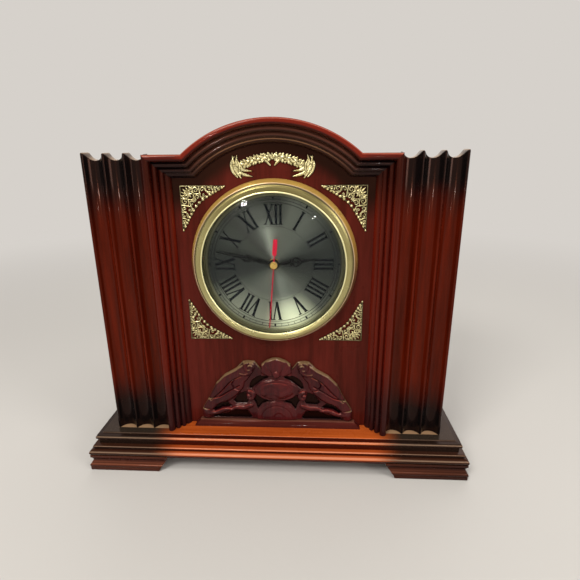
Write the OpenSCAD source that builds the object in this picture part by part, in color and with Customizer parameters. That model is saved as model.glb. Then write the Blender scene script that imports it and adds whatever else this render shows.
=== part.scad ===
// Wooden mantel clock with a quartz movement.
// X is the width, Y the depth with the dial facing -Y, and Z the height, in millimetres.
// The origin is at the middle of the footprint, on the surface that the feet stand on.

/* [Case] */
// Depth of the case from the front ridges to the back
case_d = 93; // [80:1:120]
// Plain panel between the bezel and the frame moulding
panel_margin = 12; // [8:0.5:20]
// Panel between the carving and the bezel
carving_gap = 16.7; // [10:0.1:30]
// Height of the shoulders above the bezel
head_gap = 18.7; // [16:0.1:30]
// Thickness of the side panels and the roof
wall_t = 9; // [7:0.5:12]
// Thickness of the front board
front_t = 9; // [7:0.5:12]
// Thickness of the back panel and its door
back_t = 6; // [5:0.5:8]

/* [Arched head] */
// Radius of the arch over its top edge
arch_r = 106; // [90:1:125]
// Height of the arch above the shoulders
arch_rise = 26; // [21:1:32]

/* [Pilasters] */
// Number of flutes in one pilaster
flute_count = 3; // [2:1:4]
// Width of one flute
flute_w = 13.6; // [11:0.2:17]
// Width of a ridge between two flutes
ridge_w = 2.9; // [2:0.1:4]
// Depth of one flute
flute_depth = 5.5; // [4:0.25:6.5]
// Thickness of a pilaster at its ridges
pilaster_t = 12; // [9:0.5:15]
// How far the head of each flute is scooped below the shoulder
scoop_depth = 3.8; // [2.5:0.1:5]

/* [Frame moulding] */
// Width of the stepped moulding that frames the front panel
frame_w = 18; // [14:0.5:21]
// How far its outer bead stands in front of the ridges
frame_proud = 4.4; // [2:0.2:7]

/* [Base] */
// Flat of the base that shows beside the case
side_reveal = 11.7; // [8:0.1:20]
// Flat of the base that shows in front of the case and behind it
front_reveal = 7.8; // [6:0.1:16]
// Thickness of the moulded top board of the base
base_board_t = 10; // [8:0.5:14]
// Thickness of the plinth moulding under it
plinth_t = 9; // [8:0.5:12]
// Height of the bracket feet
foot_h = 15; // [12:0.5:22]
// Length of a foot along the front, at its sole
foot_len = 65; // [50:1:80]
// Length of a foot along the side, at its sole
foot_side_len = 44; // [34:1:50]
// How far the curved end of a foot spreads from its sole to its top
foot_flare = 8.5; // [5:0.5:12]

/* [Dial] */
// Radius of the hole in the front board for the dial insert
insert_r = 65; // [53:0.5:78]
// How far the bezel laps over the front board
bezel_lap = 5.5; // [5:0.25:8]
// How far inside that hole the opening over the dial starts
sight_inset = 7; // [5.5:0.25:9]
// Height of the bezel's rim above the front panel
rim_h = 11.5; // [11:0.25:15]
// Rise of the domed glass from its edge to its middle
glass_dome = 4.5; // [3:0.25:6]
// Thickness of the glass
glass_t = 1.8; // [1.2:0.1:2.4]

/* [Hands] */
// How far the hour hand stops short of the bezel's opening
hour_short = 22; // [18:0.5:30]
// How far the minute hand stops short of it
minute_short = 8.5; // [4:0.5:14]
// How far the second hand stops short of it
second_short = 1.5; // [1:0.25:6]
// Direction of the hour hand at rest, in degrees clockwise from twelve
hour_angle = 83; // [0:1:359]
// Direction of the minute hand at rest
minute_angle = 282.8; // [0:0.2:359]
// Direction of the second hand at rest
second_angle = 184.7; // [0:0.1:359]

/* [Brass trim] */
// Distance from the frame moulding to a corner spandrel
spandrel_inset = 5.8; // [4:0.2:8]
// Thickness of the brass trim
trim_t = 1.2; // [0.8:0.1:1.6]
// Distance from the arch of the frame moulding to the garland
garland_gap = 7.1; // [5:0.1:9]

/* [Carved apron] */
// Plain panel between the carving and the frame moulding
carving_margin = 12; // [8:0.5:20]
// Height of the carving
carving_h = 63.6; // [50:0.5:76]
// Thickness of the carving
carving_t = 5.5; // [4:0.25:7]
// Distance from the frame moulding to the foot of the rail under the carving
rail_margin = 4.5; // [2:0.5:8]
// Height of the rail
rail_h = 6; // [4:0.25:8]
// Depth of the rail at its foot
rail_d = 7; // [6:0.25:9]

/* [Back door] */
// Width of the back panel beside the door
door_stile = 61; // [40:1:75]
// Height of the door's lower edge above the base
door_rise = 46; // [30:1:60]
// Height of the back panel over the door, up to the roof at the shoulders
door_head = 21; // [14:1:40]

/* [Hidden] */
$fn = 64;

// Overrun of every cut, and the small gaps that fits are made with
overrun = 1;
running_gap = 0.05;
seat_gap = 0.1;

// Bezel, and the opening in it that shows the dial
bezel_r = insert_r + bezel_lap;
sight_r = insert_r - sight_inset;

// Widths of the case, from the panel outwards
flute_pitch = flute_w + ridge_w;
pilaster_w = flute_count * flute_pitch;
panel_half_w = bezel_r + panel_margin;
frame_x = panel_half_w + frame_w;
case_w = 2 * (frame_x + pilaster_w);

// Heights of the base and the case, from the floor upwards
plinth_z = foot_h;
board_z = plinth_z + plinth_t;
base_h = board_z + base_board_t;
carving_z = base_h + rail_h;
dial_z = carving_z + carving_h + carving_gap + bezel_r;
shoulder_z = dial_z + bezel_r + head_gap;
case_h = shoulder_z - base_h;
arch_z = shoulder_z + arch_rise - arch_r;
// The roof lies level with the bottoms of the scooped flute heads
roof_z = shoulder_z - scoop_depth;

// Depths of the case, from the ridges at the front to the back
ridge_y = -case_d / 2;
panel_y = ridge_y + pilaster_t;
back_y = case_d / 2;
inside_half_w = case_w / 2 - wall_t;

// Flutes and the frame moulding beside them
flute_r = (flute_w * flute_w / 4 + flute_depth * flute_depth) / (2 * flute_depth);
scoop_r = (flute_w * flute_w / 4 + scoop_depth * scoop_depth) / (2 * scoop_depth);
frame_h = pilaster_t + frame_proud;

// Steps of the frame moulding: start and end across its width, and height
frame_step_shares = [[0, 0.3, 1], [0.3, 0.53, 0.74], [0.53, 0.77, 0.5], [0.77, 1, 0.26]];

// Profile of the base board: a quirk, a fillet and a bead over a groove
top_half_w = case_w / 2 + side_reveal;
top_half_d = case_d / 2 + front_reveal;
quirk_h = 1;
fillet_h = 0.6;
fillet_out = 4;
lip_r = 2;
lip_out = 5.1;
groove_out = 3;
// Share of a bead's radius that the board behind it reaches
bead_neck_share = 0.9;
bead_steps = 8;

// Profile of the plinth: a small bead over a large one
plinth_core_out = 6.2;
small_bead_r = 1.3;
small_bead_out = 7.6;
large_bead_r = 2.75;
large_bead_out = 10.6;

// Profile of the feet: a cove between a fillet and a bead
foot_core_out = 8.4;
foot_fillet_h = 1.8;
foot_fillet_out = 10.2;
foot_bead_r = 2;
foot_bead_out = 11;
foot_sole_h = 3.2;
foot_sole_out = 10.6;
foot_out_x = top_half_w + foot_bead_out;
foot_out_y = top_half_d + foot_bead_out;
// Points along the curved end of a foot
foot_curve_steps = 8;

// Screws that hold the base to the side panels
base_screw_r = 1.75;
base_screw_head_r = 3.5;
base_screw_head_h = 2.4;
base_screw_grip = 14;
base_screw_y_share = 0.62;

// Carved apron and its rail
carving_half_w = panel_half_w - carving_margin;
rail_half_w = panel_half_w - rail_margin;
rail_end_slope = 5.5;
rail_step = 0.6;
rail_top_half_w = rail_half_w - rail_end_slope;
rail_top_d = carving_t - rail_step;
carving_side_shares = [
    [0, 0], [1, 0], [0.99, 0.17], [0.9, 0.35], [0.79, 0.58], [0.68, 0.73], [0.52, 0.83],
    [0.41, 0.94], [0.3, 0.95], [0.21, 0.83], [0.17, 0.93], [0.06, 1]];
carving_outline_shares = concat(carving_side_shares, reflected(carving_side_shares));
carving_window_shares = [
    [[0.42, 0.03], [0.9, 0.03], [0.86, 0.16], [0.66, 0.25], [0.52, 0.15]],
    [[0.27, 0.34], [0.5, 0.28], [0.44, 0.5], [0.36, 0.52]],
    [[0.07, 0.36], [0.17, 0.25], [0.24, 0.36], [0.18, 0.45]],
    [[0.1, 0.77], [0.24, 0.66], [0.32, 0.5], [0.37, 0.56], [0.26, 0.76], [0.16, 0.82]]];

// Brass spandrels and garland
spandrel_leg_share = 0.532;
spandrel_leg = spandrel_leg_share * bezel_r;
spandrel_half_w = panel_half_w - spandrel_inset;
spandrel_top_z = shoulder_z - frame_w - spandrel_inset;
spandrel_drop = 4.6;
spandrel_bottom_z = 2 * dial_z - spandrel_top_z - spandrel_drop;
spandrel_tip = 1.4;
spandrel_bow_share = 0.32;
spandrel_hole_r = 1.9;
spandrel_swell_share = 1.4;
spandrel_hole_shares = [
    [0.17, 0.17], [0.36, 0.13], [0.13, 0.36], [0.33, 0.33], [0.54, 0.1], [0.1, 0.54]];
garland_r_share = 0.415;
garland_w_share = 0.33;
garland_r = garland_r_share * arch_r;
garland_half_w = garland_w_share * arch_r;
garland_top_z = arch_z + arch_r - frame_w - garland_gap;
garland_band_w = 7;
garland_arc = 33;
garland_leaf_w = 5;
garland_leaf_count = 9;
garland_end_r = 6.4;
garland_end_drop = 12;
garland_sprig_len = 11;
garland_sprig_turns = [-25, 8, 112];
garland_pendant_len = 7.5;
garland_pendant_w = 3.6;
garland_pendant_turn = 158;
leaf_steps = 4;

// Back door, its hinges, knob and catch
door_gap = 1;
door_w = 2 * (inside_half_w - door_stile);
door_h = case_h - wall_t - door_rise - door_head;
door_z = base_h + door_rise;
hinge_r = 2;
hinge_pin_r = 0.8;
hinge_leaf_t = 0.8;
hinge_leaf_w = 12;
hinge_h = 24;
hinge_gap = 0.3;
hinge_x = door_w / 2 + door_gap / 2;
hinge_y = back_y + hinge_r;
hinge_rise_share = 0.16;
hinge_screw_r = 1.2;
hinge_screw_len = 4;
hinge_screw_out = 8;
hinge_screw_z_share = 0.3;
knob_r = 5.5;
knob_neck_r = 2.4;
knob_base_r = 4;
knob_len = 12;
knob_screw_r = 1.5;
knob_inset = 12;
catch_h = 24;
catch_w = 16;
catch_d = 8;
catch_lap = 9;
strike_t = 1;
strike_w = 8;
catch_z = door_z + door_h / 2;

// Dial insert: the pan, the dial, the spacer, the glass and the bezel
pan_t = 0.8;
pan_gap = 0.5;
pan_r = insert_r - pan_gap;
pan_flange_w = 4;
pan_flange_r = insert_r + pan_flange_w;
clip_tab = 5;
pan_depth = front_t + clip_tab;
pan_y = panel_y - pan_t;
dial_t = 0.8;
dial_proud = 1;
dial_y = panel_y - dial_proud;
dial_r = pan_r - pan_t - seat_gap;
floor_y = dial_y + dial_t;
print_t = 0.12;
rim_wall = 2;
rim_out = 1.2;
rim_r = insert_r + rim_out;
rim_y = panel_y - rim_h;
rim_round = 1.6;
lip_slope = 2.2;
lip_t = 3.3;
lip_w = 2.5;
lip_edge_y = rim_y + lip_slope;
glass_r = sight_r + lip_w;
glass_edge_y = rim_y + lip_t;
glass_ball_r = (glass_r * glass_r + glass_dome * glass_dome) / (2 * glass_dome);
glass_ball_y = glass_edge_y - glass_dome + glass_ball_r;
glass_fn = 720;
spacer_lap = 1;
spacer_r = glass_r - spacer_lap;
spacer_y = glass_edge_y + glass_t;
flange_ring_h = 7.6;
flange_side_share = 0.16;
flange_shoulder_share = 0.32;
flange_inner_share = 0.92;
clip_w = 8;
clip_len = 8;
clip_t = 1;
clip_angles = [30, 150, 270];

// Marks on the dial
numeral_in_share = 0.575;
numeral_out_share = 0.87;
track_in_share = 0.885;
track_out_share = 0.965;
chapter_in_share = 0.55;
mark_line = 0.3;
tick_count = 60;
hour_count = 12;
numeral_bar = 1.35;
numeral_thin = 0.6;
numeral_pitch = 2.7;
numeral_v_w = 5.4;
numeral_serif = 0.5;
numerals = ["XII", "I", "II", "III", "IIII", "V", "VI", "VII", "VIII", "IX", "X", "XI"];

// Hands, as lengths and as distances in front of the dial
hour_len = sight_r - hour_short;
minute_len = sight_r - minute_short;
second_len = sight_r - second_short;
hand_t = 0.5;
second_hand_t = 0.3;
hour_hand_out = 2.2;
minute_hand_out = 3.4;
second_hand_out = 4.4;
hour_hand_y = dial_y - hour_hand_out;
minute_hand_y = dial_y - minute_hand_out;
second_hand_y = dial_y - second_hand_out;
hour_loop_share = 0.55;
minute_loop_share = 0.5;
hour_boss_r = 4.6;
minute_boss_r = 3.6;
hub_cap_r = 3.1;
hub_cap_t = 0.8;
stem_w = 1.6;
tip_w = 0.9;
loop_r = 3.1;
loop_hole_r = 1.9;
second_w = 0.8;
second_tail_w = 3.6;
second_tail_in = 8.4;
second_tail_out = 22;
second_boss_r = 2;

// Movement: a square box behind the dial, with the battery along its foot
movement_w = 56;
movement_t = 16;
skin_t = 1.2;
movement_y = floor_y + pan_t;
movement_back_y = movement_y + movement_t;
front_shell_t = 9.6;
split_y = movement_y + front_shell_t;
inner_half = movement_w / 2 - skin_t;
cavity_back_y = movement_back_y - skin_t;
tray_t = 0.8;
tray_h = 16.5;
tray_y = movement_y + skin_t + seat_gap;
tray_half_w = inner_half - seat_gap;
tray_foot_z = -tray_half_w;
battery_r = 7.2;
battery_len = 49;
battery_nub_r = 2.7;
battery_nub_len = 1.5;
battery_y = movement_y + skin_t + battery_r;
battery_z = tray_foot_z + tray_t + battery_r;
contact_t = tray_half_w - tray_t - (battery_len + battery_nub_len) / 2;
contact_w = 9;
board_t = 0.8;
board_x = 12;
board_half_h = 9;
chip_r = 3;

// Arbors, from the centre outwards
second_shaft_r = 0.5;
minute_bore_r = second_shaft_r + running_gap;
minute_tube_r = 1.6;
hour_bore_r = minute_tube_r + running_gap;
hour_pipe_r = 2.5;
case_bore_r = hour_pipe_r + running_gap;
case_tube_r = 3.6;
nut_r = 5.2;
nut_t = 1.3;
case_tube_front_y = dial_y - nut_t;
arbor_r = 0.5;
setting_arbor_r = 0.75;

// Wheels: teeth, and the distances between their arbors
cannon_teeth = 8;
setting_teeth = 24;
setting_pinion_teeth = 6;
hour_teeth = 24;
centre_teeth = 48;
third_pinion_teeth = 6;
third_teeth = 45;
second_pinion_teeth = 6;
second_teeth = 36;
intermediate_pinion_teeth = 6;
intermediate_teeth = 30;
rotor_teeth = 6;
setting_distance = 11;
third_distance = 10.8;
intermediate_distance = 10.85;
rotor_distance = 9;
setting_direction = 175;
third_direction = 5;
intermediate_direction = 90;
rotor_direction = 30;
half_turn_angle = 180;
tooth_height_share = 0.75;
root_depth_share = 1.1;
tooth_tip_share = 0.085;
tooth_root_share = 0.2;
wheel_t = 0.9;
wheel_step = 1.8;
wheel_clearance = 0.4;
first_wheel_y = movement_y + skin_t + wheel_clearance;

setting_at = polar(setting_distance, setting_direction);
third_at = polar(third_distance, third_direction);
intermediate_at = polar(intermediate_distance, intermediate_direction);
rotor_at = intermediate_at + polar(rotor_distance, rotor_direction);
cannon_module = 2 * setting_distance / (cannon_teeth + setting_teeth);
hour_module = 2 * setting_distance / (setting_pinion_teeth + hour_teeth);
centre_module = 2 * third_distance / (centre_teeth + third_pinion_teeth);
third_module = 2 * third_distance / (third_teeth + second_pinion_teeth);
second_module = 2 * intermediate_distance / (second_teeth + intermediate_pinion_teeth);
rotor_module = 2 * rotor_distance / (intermediate_teeth + rotor_teeth);

// Motor: the magnet on the rotor, the stator plate round it, and the coil
magnet_r = 3;
magnet_in = 5;
magnet_y = movement_y + magnet_in;
magnet_t = 5.2;
stator_in = 7.5;
stator_y = movement_y + stator_in;
stator_t = 1;
stator_hole_r = 3.5;
stator_ring_r = 4.5;
stator_leg_w = 4;
stator_bar_w = 2.7;
coil_z = 22;
coil_left_x = -13;
coil_len = 16;
coil_r = 3.7;
coil_flange_r = 4.2;
coil_flange_t = 0.8;
core_w = 3;
stator_left_x = -19;
post_r = 1.5;

// Knob that sets the hands from behind
setting_knob_r = 5.5;
setting_knob_t = 4;
setting_knob_rib_r = 0.7;
setting_knob_ribs = 18;

wood_red = [0.36, 0.07, 0.05];
wood_dark = [0.14, 0.05, 0.05];
gilt = [0.8, 0.68, 0.36];
trim_brass = [0.83, 0.77, 0.5];

function polar(distance, direction) = distance * [cos(direction), sin(direction)];
function wheel_y(level) = first_wheel_y + level * wheel_step;
function share_points(shares, w, h) = [for (p = shares) [p[0] * w, p[1] * h]];
function reflected(points) = [for (i = [len(points) - 1 : -1 : 1]) [-points[i][0], points[i][1]]];

// A plate whose outline is drawn as seen from the front, from one depth to another
module slab(front_y, rear_y) {
    translate([0, rear_y, 0]) rotate([90, 0, 0]) linear_extrude(rear_y - front_y) children();
}

// A length of moulding along X, drawn as seen from its end
module along_x(half_len) {
    translate([-half_len, 0, 0]) rotate([90, 0, 90]) linear_extrude(2 * half_len) children();
}

// A ring or disc round the dial's centre, drawn as radius and depth
module turned() {
    translate([0, 0, dial_z]) rotate([-90, 0, 0]) rotate_extrude() children();
}

// Moves a piece from the dial's centre to a place in the movement
module at_dial(place = [0, 0]) {
    translate([place[0], 0, dial_z + place[1]]) children();
}

module rod(r, front_y, rear_y) {
    translate([0, front_y, 0]) rotate([-90, 0, 0]) cylinder(r = r, h = rear_y - front_y);
}

module both_sides() {
    children();
    mirror([1, 0]) children();
}

module band(half_w, low, high) {
    translate([-half_w, low]) square([2 * half_w, high - low]);
}

// Outline of the case at a distance inside its edge, with its sides at half_w and its shoulders at flat_z
module arched_outline(half_w, inset, flat_z) {
    band(half_w, base_h, flat_z - inset);
    intersection() {
        translate([0, arch_z]) circle(r = arch_r - inset);
        band(half_w, flat_z - inset - overrun, arch_z + arch_r);
    }
}

// Front board, with the hole for the dial insert
module front_board() color(wood_red) {
    slab(panel_y, panel_y + front_t) difference() {
        arched_outline(inside_half_w, wall_t, roof_z);
        translate([0, dial_z]) circle(r = insert_r);
    }
}

module side_panel() color(wood_red) {
    difference() {
        translate([inside_half_w, panel_y, base_h]) cube([wall_t, back_y - panel_y, roof_z - base_h]);
        base_screw_places() cylinder(r = base_screw_r, h = base_screw_grip + base_h);
    }
}

module left_side_panel() mirror([1, 0, 0]) side_panel();

module right_side_panel() side_panel();

// Roof that follows the arch, between the side panels
module roof() color(wood_red) {
    slab(panel_y, back_y) difference() {
        intersection() {
            arched_outline(inside_half_w, 0, roof_z);
            band(inside_half_w, roof_z - wall_t, arch_z + arch_r);
        }
        translate([0, arch_z]) circle(r = arch_r - wall_t);
    }
}

module back_panel() color(wood_dark) {
    difference() {
        slab(back_y - back_t, back_y) difference() {
            arched_outline(inside_half_w, wall_t, roof_z);
            band(door_w / 2 + door_gap, door_z - door_gap, door_z + door_h + door_gap);
        }
        hinge_places() hinge_screws(1);
    }
}

module back_door() color(wood_dark) {
    difference() {
        slab(back_y - back_t, back_y) band(door_w / 2, door_z, door_z + door_h);
        translate([knob_inset - door_w / 2, 0, catch_z])
            rod(knob_screw_r, back_y - back_t - overrun, back_y + overrun);
        hinge_places() hinge_screws(-1);
    }
}

// Fluted pilaster on the right, whose flutes run out in scooped heads
module pilaster() color(wood_red) {
    first_x = case_w / 2 - ridge_w / 2 - flute_pitch / 2;
    difference() {
        translate([0, 0, base_h]) linear_extrude(case_h) difference() {
            translate([frame_x, ridge_y]) square([pilaster_w, pilaster_t]);
            for (i = [0 : flute_count - 1])
                translate([first_x - i * flute_pitch, ridge_y + flute_depth - flute_r])
                    circle(r = flute_r);
        }
        for (i = [0 : flute_count - 1])
            translate([first_x - i * flute_pitch, 0, shoulder_z + scoop_r - scoop_depth])
                rod(scoop_r, ridge_y - overrun, panel_y + overrun);
    }
}

module left_pilaster() mirror([1, 0, 0]) pilaster();

module right_pilaster() pilaster();

// Upright of the stepped frame moulding, mitred at its head
module frame_moulding() color(wood_red) {
    for (step = frame_step_shares) {
        near = step[0] * frame_w;
        far = step[1] * frame_w;
        slab(panel_y - step[2] * frame_h, panel_y) polygon([
            [frame_x - near, base_h], [frame_x - near, shoulder_z - near],
            [frame_x - far, shoulder_z - far], [frame_x - far, base_h]]);
    }
}

module left_frame_moulding() mirror([1, 0, 0]) frame_moulding();

module right_frame_moulding() frame_moulding();

// Head of the frame moulding: two shoulders and the arch between them
module head_moulding() color(wood_red) {
    foot_z = shoulder_z - frame_w;
    top_z = arch_z + arch_r;
    for (step = frame_step_shares)
        slab(panel_y - step[2] * frame_h, panel_y) intersection() {
            difference() {
                arched_outline(frame_x, step[0] * frame_w, shoulder_z);
                arched_outline(frame_x + overrun, step[1] * frame_w, shoulder_z);
            }
            polygon([
                [-panel_half_w, foot_z], [panel_half_w, foot_z], [frame_x, shoulder_z],
                [frame_x, top_z], [-frame_x, top_z], [-frame_x, shoulder_z]]);
        }
}

// Right-hand points of a bead, from its foot to its head
function bead(half, centre_z, r, out) = [for (i = [0 : bead_steps])
    let (turn = asin(bead_neck_share) * (2 * i / bead_steps - 1))
    [half + out - r + r * cos(turn), centre_z + r * sin(turn)]];

// Outline of a moulded board, from the points of its right-hand edge
module moulded(points) {
    polygon(concat(points, [for (i = [len(points) - 1 : -1 : 0]) [-points[i][0], points[i][1]]]));
}

module base_board_edge(half) {
    neck = bead_neck_share * lip_r;
    lip_z = base_h - quirk_h - fillet_h - neck;
    moulded(concat(
        [[half + groove_out, board_z], [half + groove_out, lip_z - neck]],
        bead(half, lip_z, lip_r, lip_out),
        [[half + fillet_out, lip_z + neck], [half + fillet_out, base_h - quirk_h],
         [half, base_h - quirk_h], [half, base_h]]));
}

module plinth_edge(half) {
    small_neck = bead_neck_share * small_bead_r;
    large_neck = bead_neck_share * large_bead_r;
    moulded(concat(
        bead(half, plinth_z + large_neck, large_bead_r, large_bead_out),
        [[half + plinth_core_out, plinth_z + 2 * large_neck],
         [half + plinth_core_out, board_z - 2 * small_neck]],
        bead(half, board_z - small_neck, small_bead_r, small_bead_out)));
}

module foot_edge(half) {
    neck = bead_neck_share * foot_bead_r;
    moulded(concat(
        [[half + foot_sole_out, 0], [half + foot_sole_out, foot_sole_h]],
        bead(half, foot_sole_h + neck, foot_bead_r, foot_bead_out),
        [[half + foot_core_out, foot_sole_h + 2 * neck], [half + foot_core_out, foot_h - foot_fillet_h],
         [half + foot_fillet_out, foot_h - foot_fillet_h], [half + foot_fillet_out, foot_h]]));
}

module base_board() color(wood_red) {
    difference() {
        intersection() {
            along_x(foot_out_x + overrun) base_board_edge(top_half_d);
            slab(-foot_out_y - overrun, foot_out_y + overrun) base_board_edge(top_half_w);
        }
        base_screw_holes();
    }
}

module plinth() color(wood_red) {
    difference() {
        intersection() {
            along_x(foot_out_x + overrun) plinth_edge(top_half_d);
            slab(-foot_out_y - overrun, foot_out_y + overrun) plinth_edge(top_half_w);
        }
        base_screw_holes();
    }
}

// End of a foot: from its outer edge to the curve under the plinth
module foot_end(out, len) {
    curve = [for (i = [0 : foot_curve_steps])
        let (t = i / foot_curve_steps)
        [out - len - foot_flare * (1 - cos(half_turn_angle * t)) / 2, foot_h * t]];
    polygon(concat([[out + overrun, 0]], curve, [[out + overrun, foot_h]]));
}

module foot() color(wood_red) {
    intersection() {
        along_x(foot_out_x + overrun) foot_edge(top_half_d);
        slab(-foot_out_y - overrun, foot_out_y + overrun) foot_edge(top_half_w);
        slab(-foot_out_y - overrun, 0) foot_end(foot_out_x, foot_len);
        mirror([0, 1, 0]) along_x(foot_out_x + overrun) foot_end(foot_out_y, foot_side_len);
    }
}

module front_left_foot() mirror([1, 0, 0]) foot();

module front_right_foot() foot();

module rear_left_foot() rotate([0, 0, half_turn_angle]) foot();

module rear_right_foot() mirror([0, 1, 0]) foot();

// Screws from the plinth up into the side panels
module base_screw_places() {
    for (y = [-1, 1])
        translate([
            case_w / 2 - wall_t / 2, (panel_y + back_y) / 2 + y * base_screw_y_share * back_y, 0])
            children();
}

module base_screw_holes() {
    for (side = [0, 1])
        mirror([side, 0, 0]) base_screw_places() {
            translate([0, 0, plinth_z]) cylinder(r = base_screw_r + seat_gap, h = base_h);
            translate([0, 0, plinth_z])
                cylinder(r = base_screw_head_r + seat_gap, h = base_screw_head_h);
        }
}

module base_screws() color("silver") {
    for (side = [0, 1])
        mirror([side, 0, 0]) base_screw_places() translate([0, 0, plinth_z]) {
            cylinder(r = base_screw_head_r, h = base_screw_head_h);
            cylinder(r = base_screw_r, h = base_h - plinth_z + base_screw_grip);
        }
}

// Rail with a splayed face and splayed ends, which the carving stands on
module apron_rail() color(wood_red) {
    intersection() {
        along_x(rail_half_w) polygon([
            [panel_y, base_h], [panel_y - rail_d, base_h],
            [panel_y - rail_top_d, carving_z], [panel_y, carving_z]]);
        slab(panel_y - rail_d, panel_y) polygon([
            [-rail_half_w, base_h], [rail_half_w, base_h],
            [rail_top_half_w, carving_z], [-rail_top_half_w, carving_z]]);
    }
}

// Pierced carving, the same to the left and to the right
module apron_carving() color(wood_red) {
    slab(panel_y - carving_t, panel_y) translate([0, carving_z]) difference() {
        polygon(share_points(carving_outline_shares, carving_half_w, carving_h));
        both_sides() for (window = carving_window_shares)
            polygon(share_points(window, carving_half_w, carving_h));
    }
}

// Pierced corner piece with its right angle at the origin and a bowed long side
module spandrel_outline() {
    bow = spandrel_bow_share * spandrel_leg;
    difference() {
        polygon([
            [0, 0], [spandrel_leg, 0], [spandrel_leg, spandrel_tip],
            [bow + spandrel_tip, bow + spandrel_tip],
            [spandrel_tip, spandrel_leg], [0, spandrel_leg]]);
        for (p = spandrel_hole_shares)
            translate(p * spandrel_leg)
                circle(r = spandrel_hole_r * (spandrel_swell_share - p[0] - p[1]));
    }
}

// Puts a piece at the corner of the panel that the signs name
module at_corner(side, level) {
    corner_z = level > 0 ? spandrel_top_z : spandrel_bottom_z;
    translate([side * spandrel_half_w, 0, corner_z])
        mirror([side > 0 ? 1 : 0, 0, 0]) mirror([0, 0, level > 0 ? 1 : 0]) children();
}

module spandrel(side, level) color(trim_brass) {
    at_corner(side, level) slab(panel_y - trim_t, panel_y) spandrel_outline();
}

module top_left_spandrel() spandrel(-1, 1);

module top_right_spandrel() spandrel(1, 1);

module bottom_left_spandrel() spandrel(-1, -1);

module bottom_right_spandrel() spandrel(1, -1);

// Pointed leaf that grows upwards from the origin
module leaf(len, w) {
    edge = [for (i = [0 : leaf_steps])
        [w / 2 * sin(half_turn_angle * i / leaf_steps), len * i / leaf_steps]];
    polygon(concat(edge, [for (i = [leaf_steps - 1 : -1 : 1]) [-edge[i][0], edge[i][1]]]));
}

// Leafy arch with a cluster of leaves at each end and two crossed leaves hanging from it
module garland_outline() {
    end = [garland_half_w - garland_end_r, garland_top_z - garland_end_drop];
    steps = 2 * garland_leaf_count;
    turns = [for (i = [0 : steps]) garland_arc * (2 * i / steps - 1)];
    translate([0, garland_top_z - garland_band_w / 2 - garland_r]) {
        polygon(concat(
            [for (i = [0 : steps]) polar(garland_r + garland_band_w / 4, 90 + turns[i])],
            [for (i = [0 : steps]) polar(garland_r - garland_band_w / 4, 90 - turns[i])]));
        for (i = [0 : garland_leaf_count - 1])
            rotate(garland_arc * (2 * i / (garland_leaf_count - 1) - 1))
                translate([0, garland_r - garland_band_w / 2]) leaf(garland_band_w, garland_leaf_w);
    }
    both_sides() {
        translate(end) circle(r = garland_end_r);
        for (turn = garland_sprig_turns)
            translate(end) rotate(turn) leaf(garland_sprig_len, garland_leaf_w);
        translate([0, garland_top_z - garland_band_w / 2]) rotate(garland_pendant_turn)
            leaf(garland_pendant_len, garland_pendant_w);
    }
}

module garland() color(trim_brass) {
    slab(panel_y - trim_t, panel_y) garland_outline();
}

// Places of the two hinges, at the foot of each knuckle
module hinge_places() {
    rise = hinge_rise_share * door_h;
    for (z = [door_z + rise, door_z + door_h - rise - hinge_h])
        translate([hinge_x, hinge_y, z]) children();
}

// The two screws of half a hinge, through its leaf into the wood
module hinge_screws(side) {
    for (rise = hinge_screw_z_share * hinge_h * [-1, 1])
        translate([side * hinge_screw_out, hinge_leaf_t - hinge_r, hinge_h / 2 + rise])
            rotate([90, 0, 0]) cylinder(r = hinge_screw_r, h = hinge_leaf_t + hinge_screw_len);
}

// Knuckles and leaf of half a hinge: the case's has the two outer knuckles
module hinge_half(side, knuckles) {
    third = hinge_h / 3;
    difference() {
        union() {
            translate([side > 0 ? hinge_gap : -hinge_leaf_w, -hinge_r, 0])
                cube([hinge_leaf_w - hinge_gap, hinge_leaf_t, hinge_h]);
            for (k = knuckles)
                translate([0, 0, k * third + hinge_gap / 2])
                    cylinder(r = hinge_r, h = third - hinge_gap);
            hinge_screws(side);
        }
        for (k = [0 : 2])
            if (len(search(k, knuckles)) == 0)
                translate([0, 0, k * third - hinge_gap / 2])
                    cylinder(r = hinge_r + hinge_gap, h = third + hinge_gap);
        translate([0, 0, -overrun]) cylinder(r = hinge_pin_r + running_gap, h = hinge_h + 2 * overrun);
    }
}

module case_hinge_leaves() color(gilt) hinge_places() hinge_half(1, [0, 2]);

module door_hinge_leaves() color(gilt) hinge_places() hinge_half(-1, [1]);

module hinge_pins() color(gilt) hinge_places() cylinder(r = hinge_pin_r, h = hinge_h);

module door_knob() color(gilt) {
    translate([knob_inset - door_w / 2, back_y, catch_z]) {
        rotate([-90, 0, 0]) rotate_extrude() polygon([
            [0, 0], [knob_base_r, 0], [knob_base_r, knob_len / 8], [knob_neck_r, knob_len / 4],
            [knob_neck_r, knob_len / 2], [knob_r, 2 * knob_len / 3], [knob_r, 5 * knob_len / 6],
            [knob_r / 2, knob_len], [0, knob_len]]);
        rod(knob_screw_r, -back_t, 0);
    }
}

// Magnetic catch on the back panel's inner face, and the plate that it holds
module catch_magnet() color("dimgray") {
    edge_x = door_w / 2 + door_gap;
    inner_y = back_y - back_t;
    translate([-edge_x - catch_w + catch_lap, inner_y - strike_t - catch_d, catch_z - catch_h / 2])
        cube([catch_w, catch_d, catch_h]);
    translate([-edge_x - catch_w + catch_lap, inner_y - strike_t, catch_z - catch_h / 2])
        cube([catch_w - catch_lap - seat_gap, strike_t, catch_h]);
}

module strike_plate() color("silver") {
    translate([-door_w / 2, back_y - back_t - strike_t, catch_z - catch_h / 2])
        cube([strike_w, strike_t, catch_h]);
}

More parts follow.
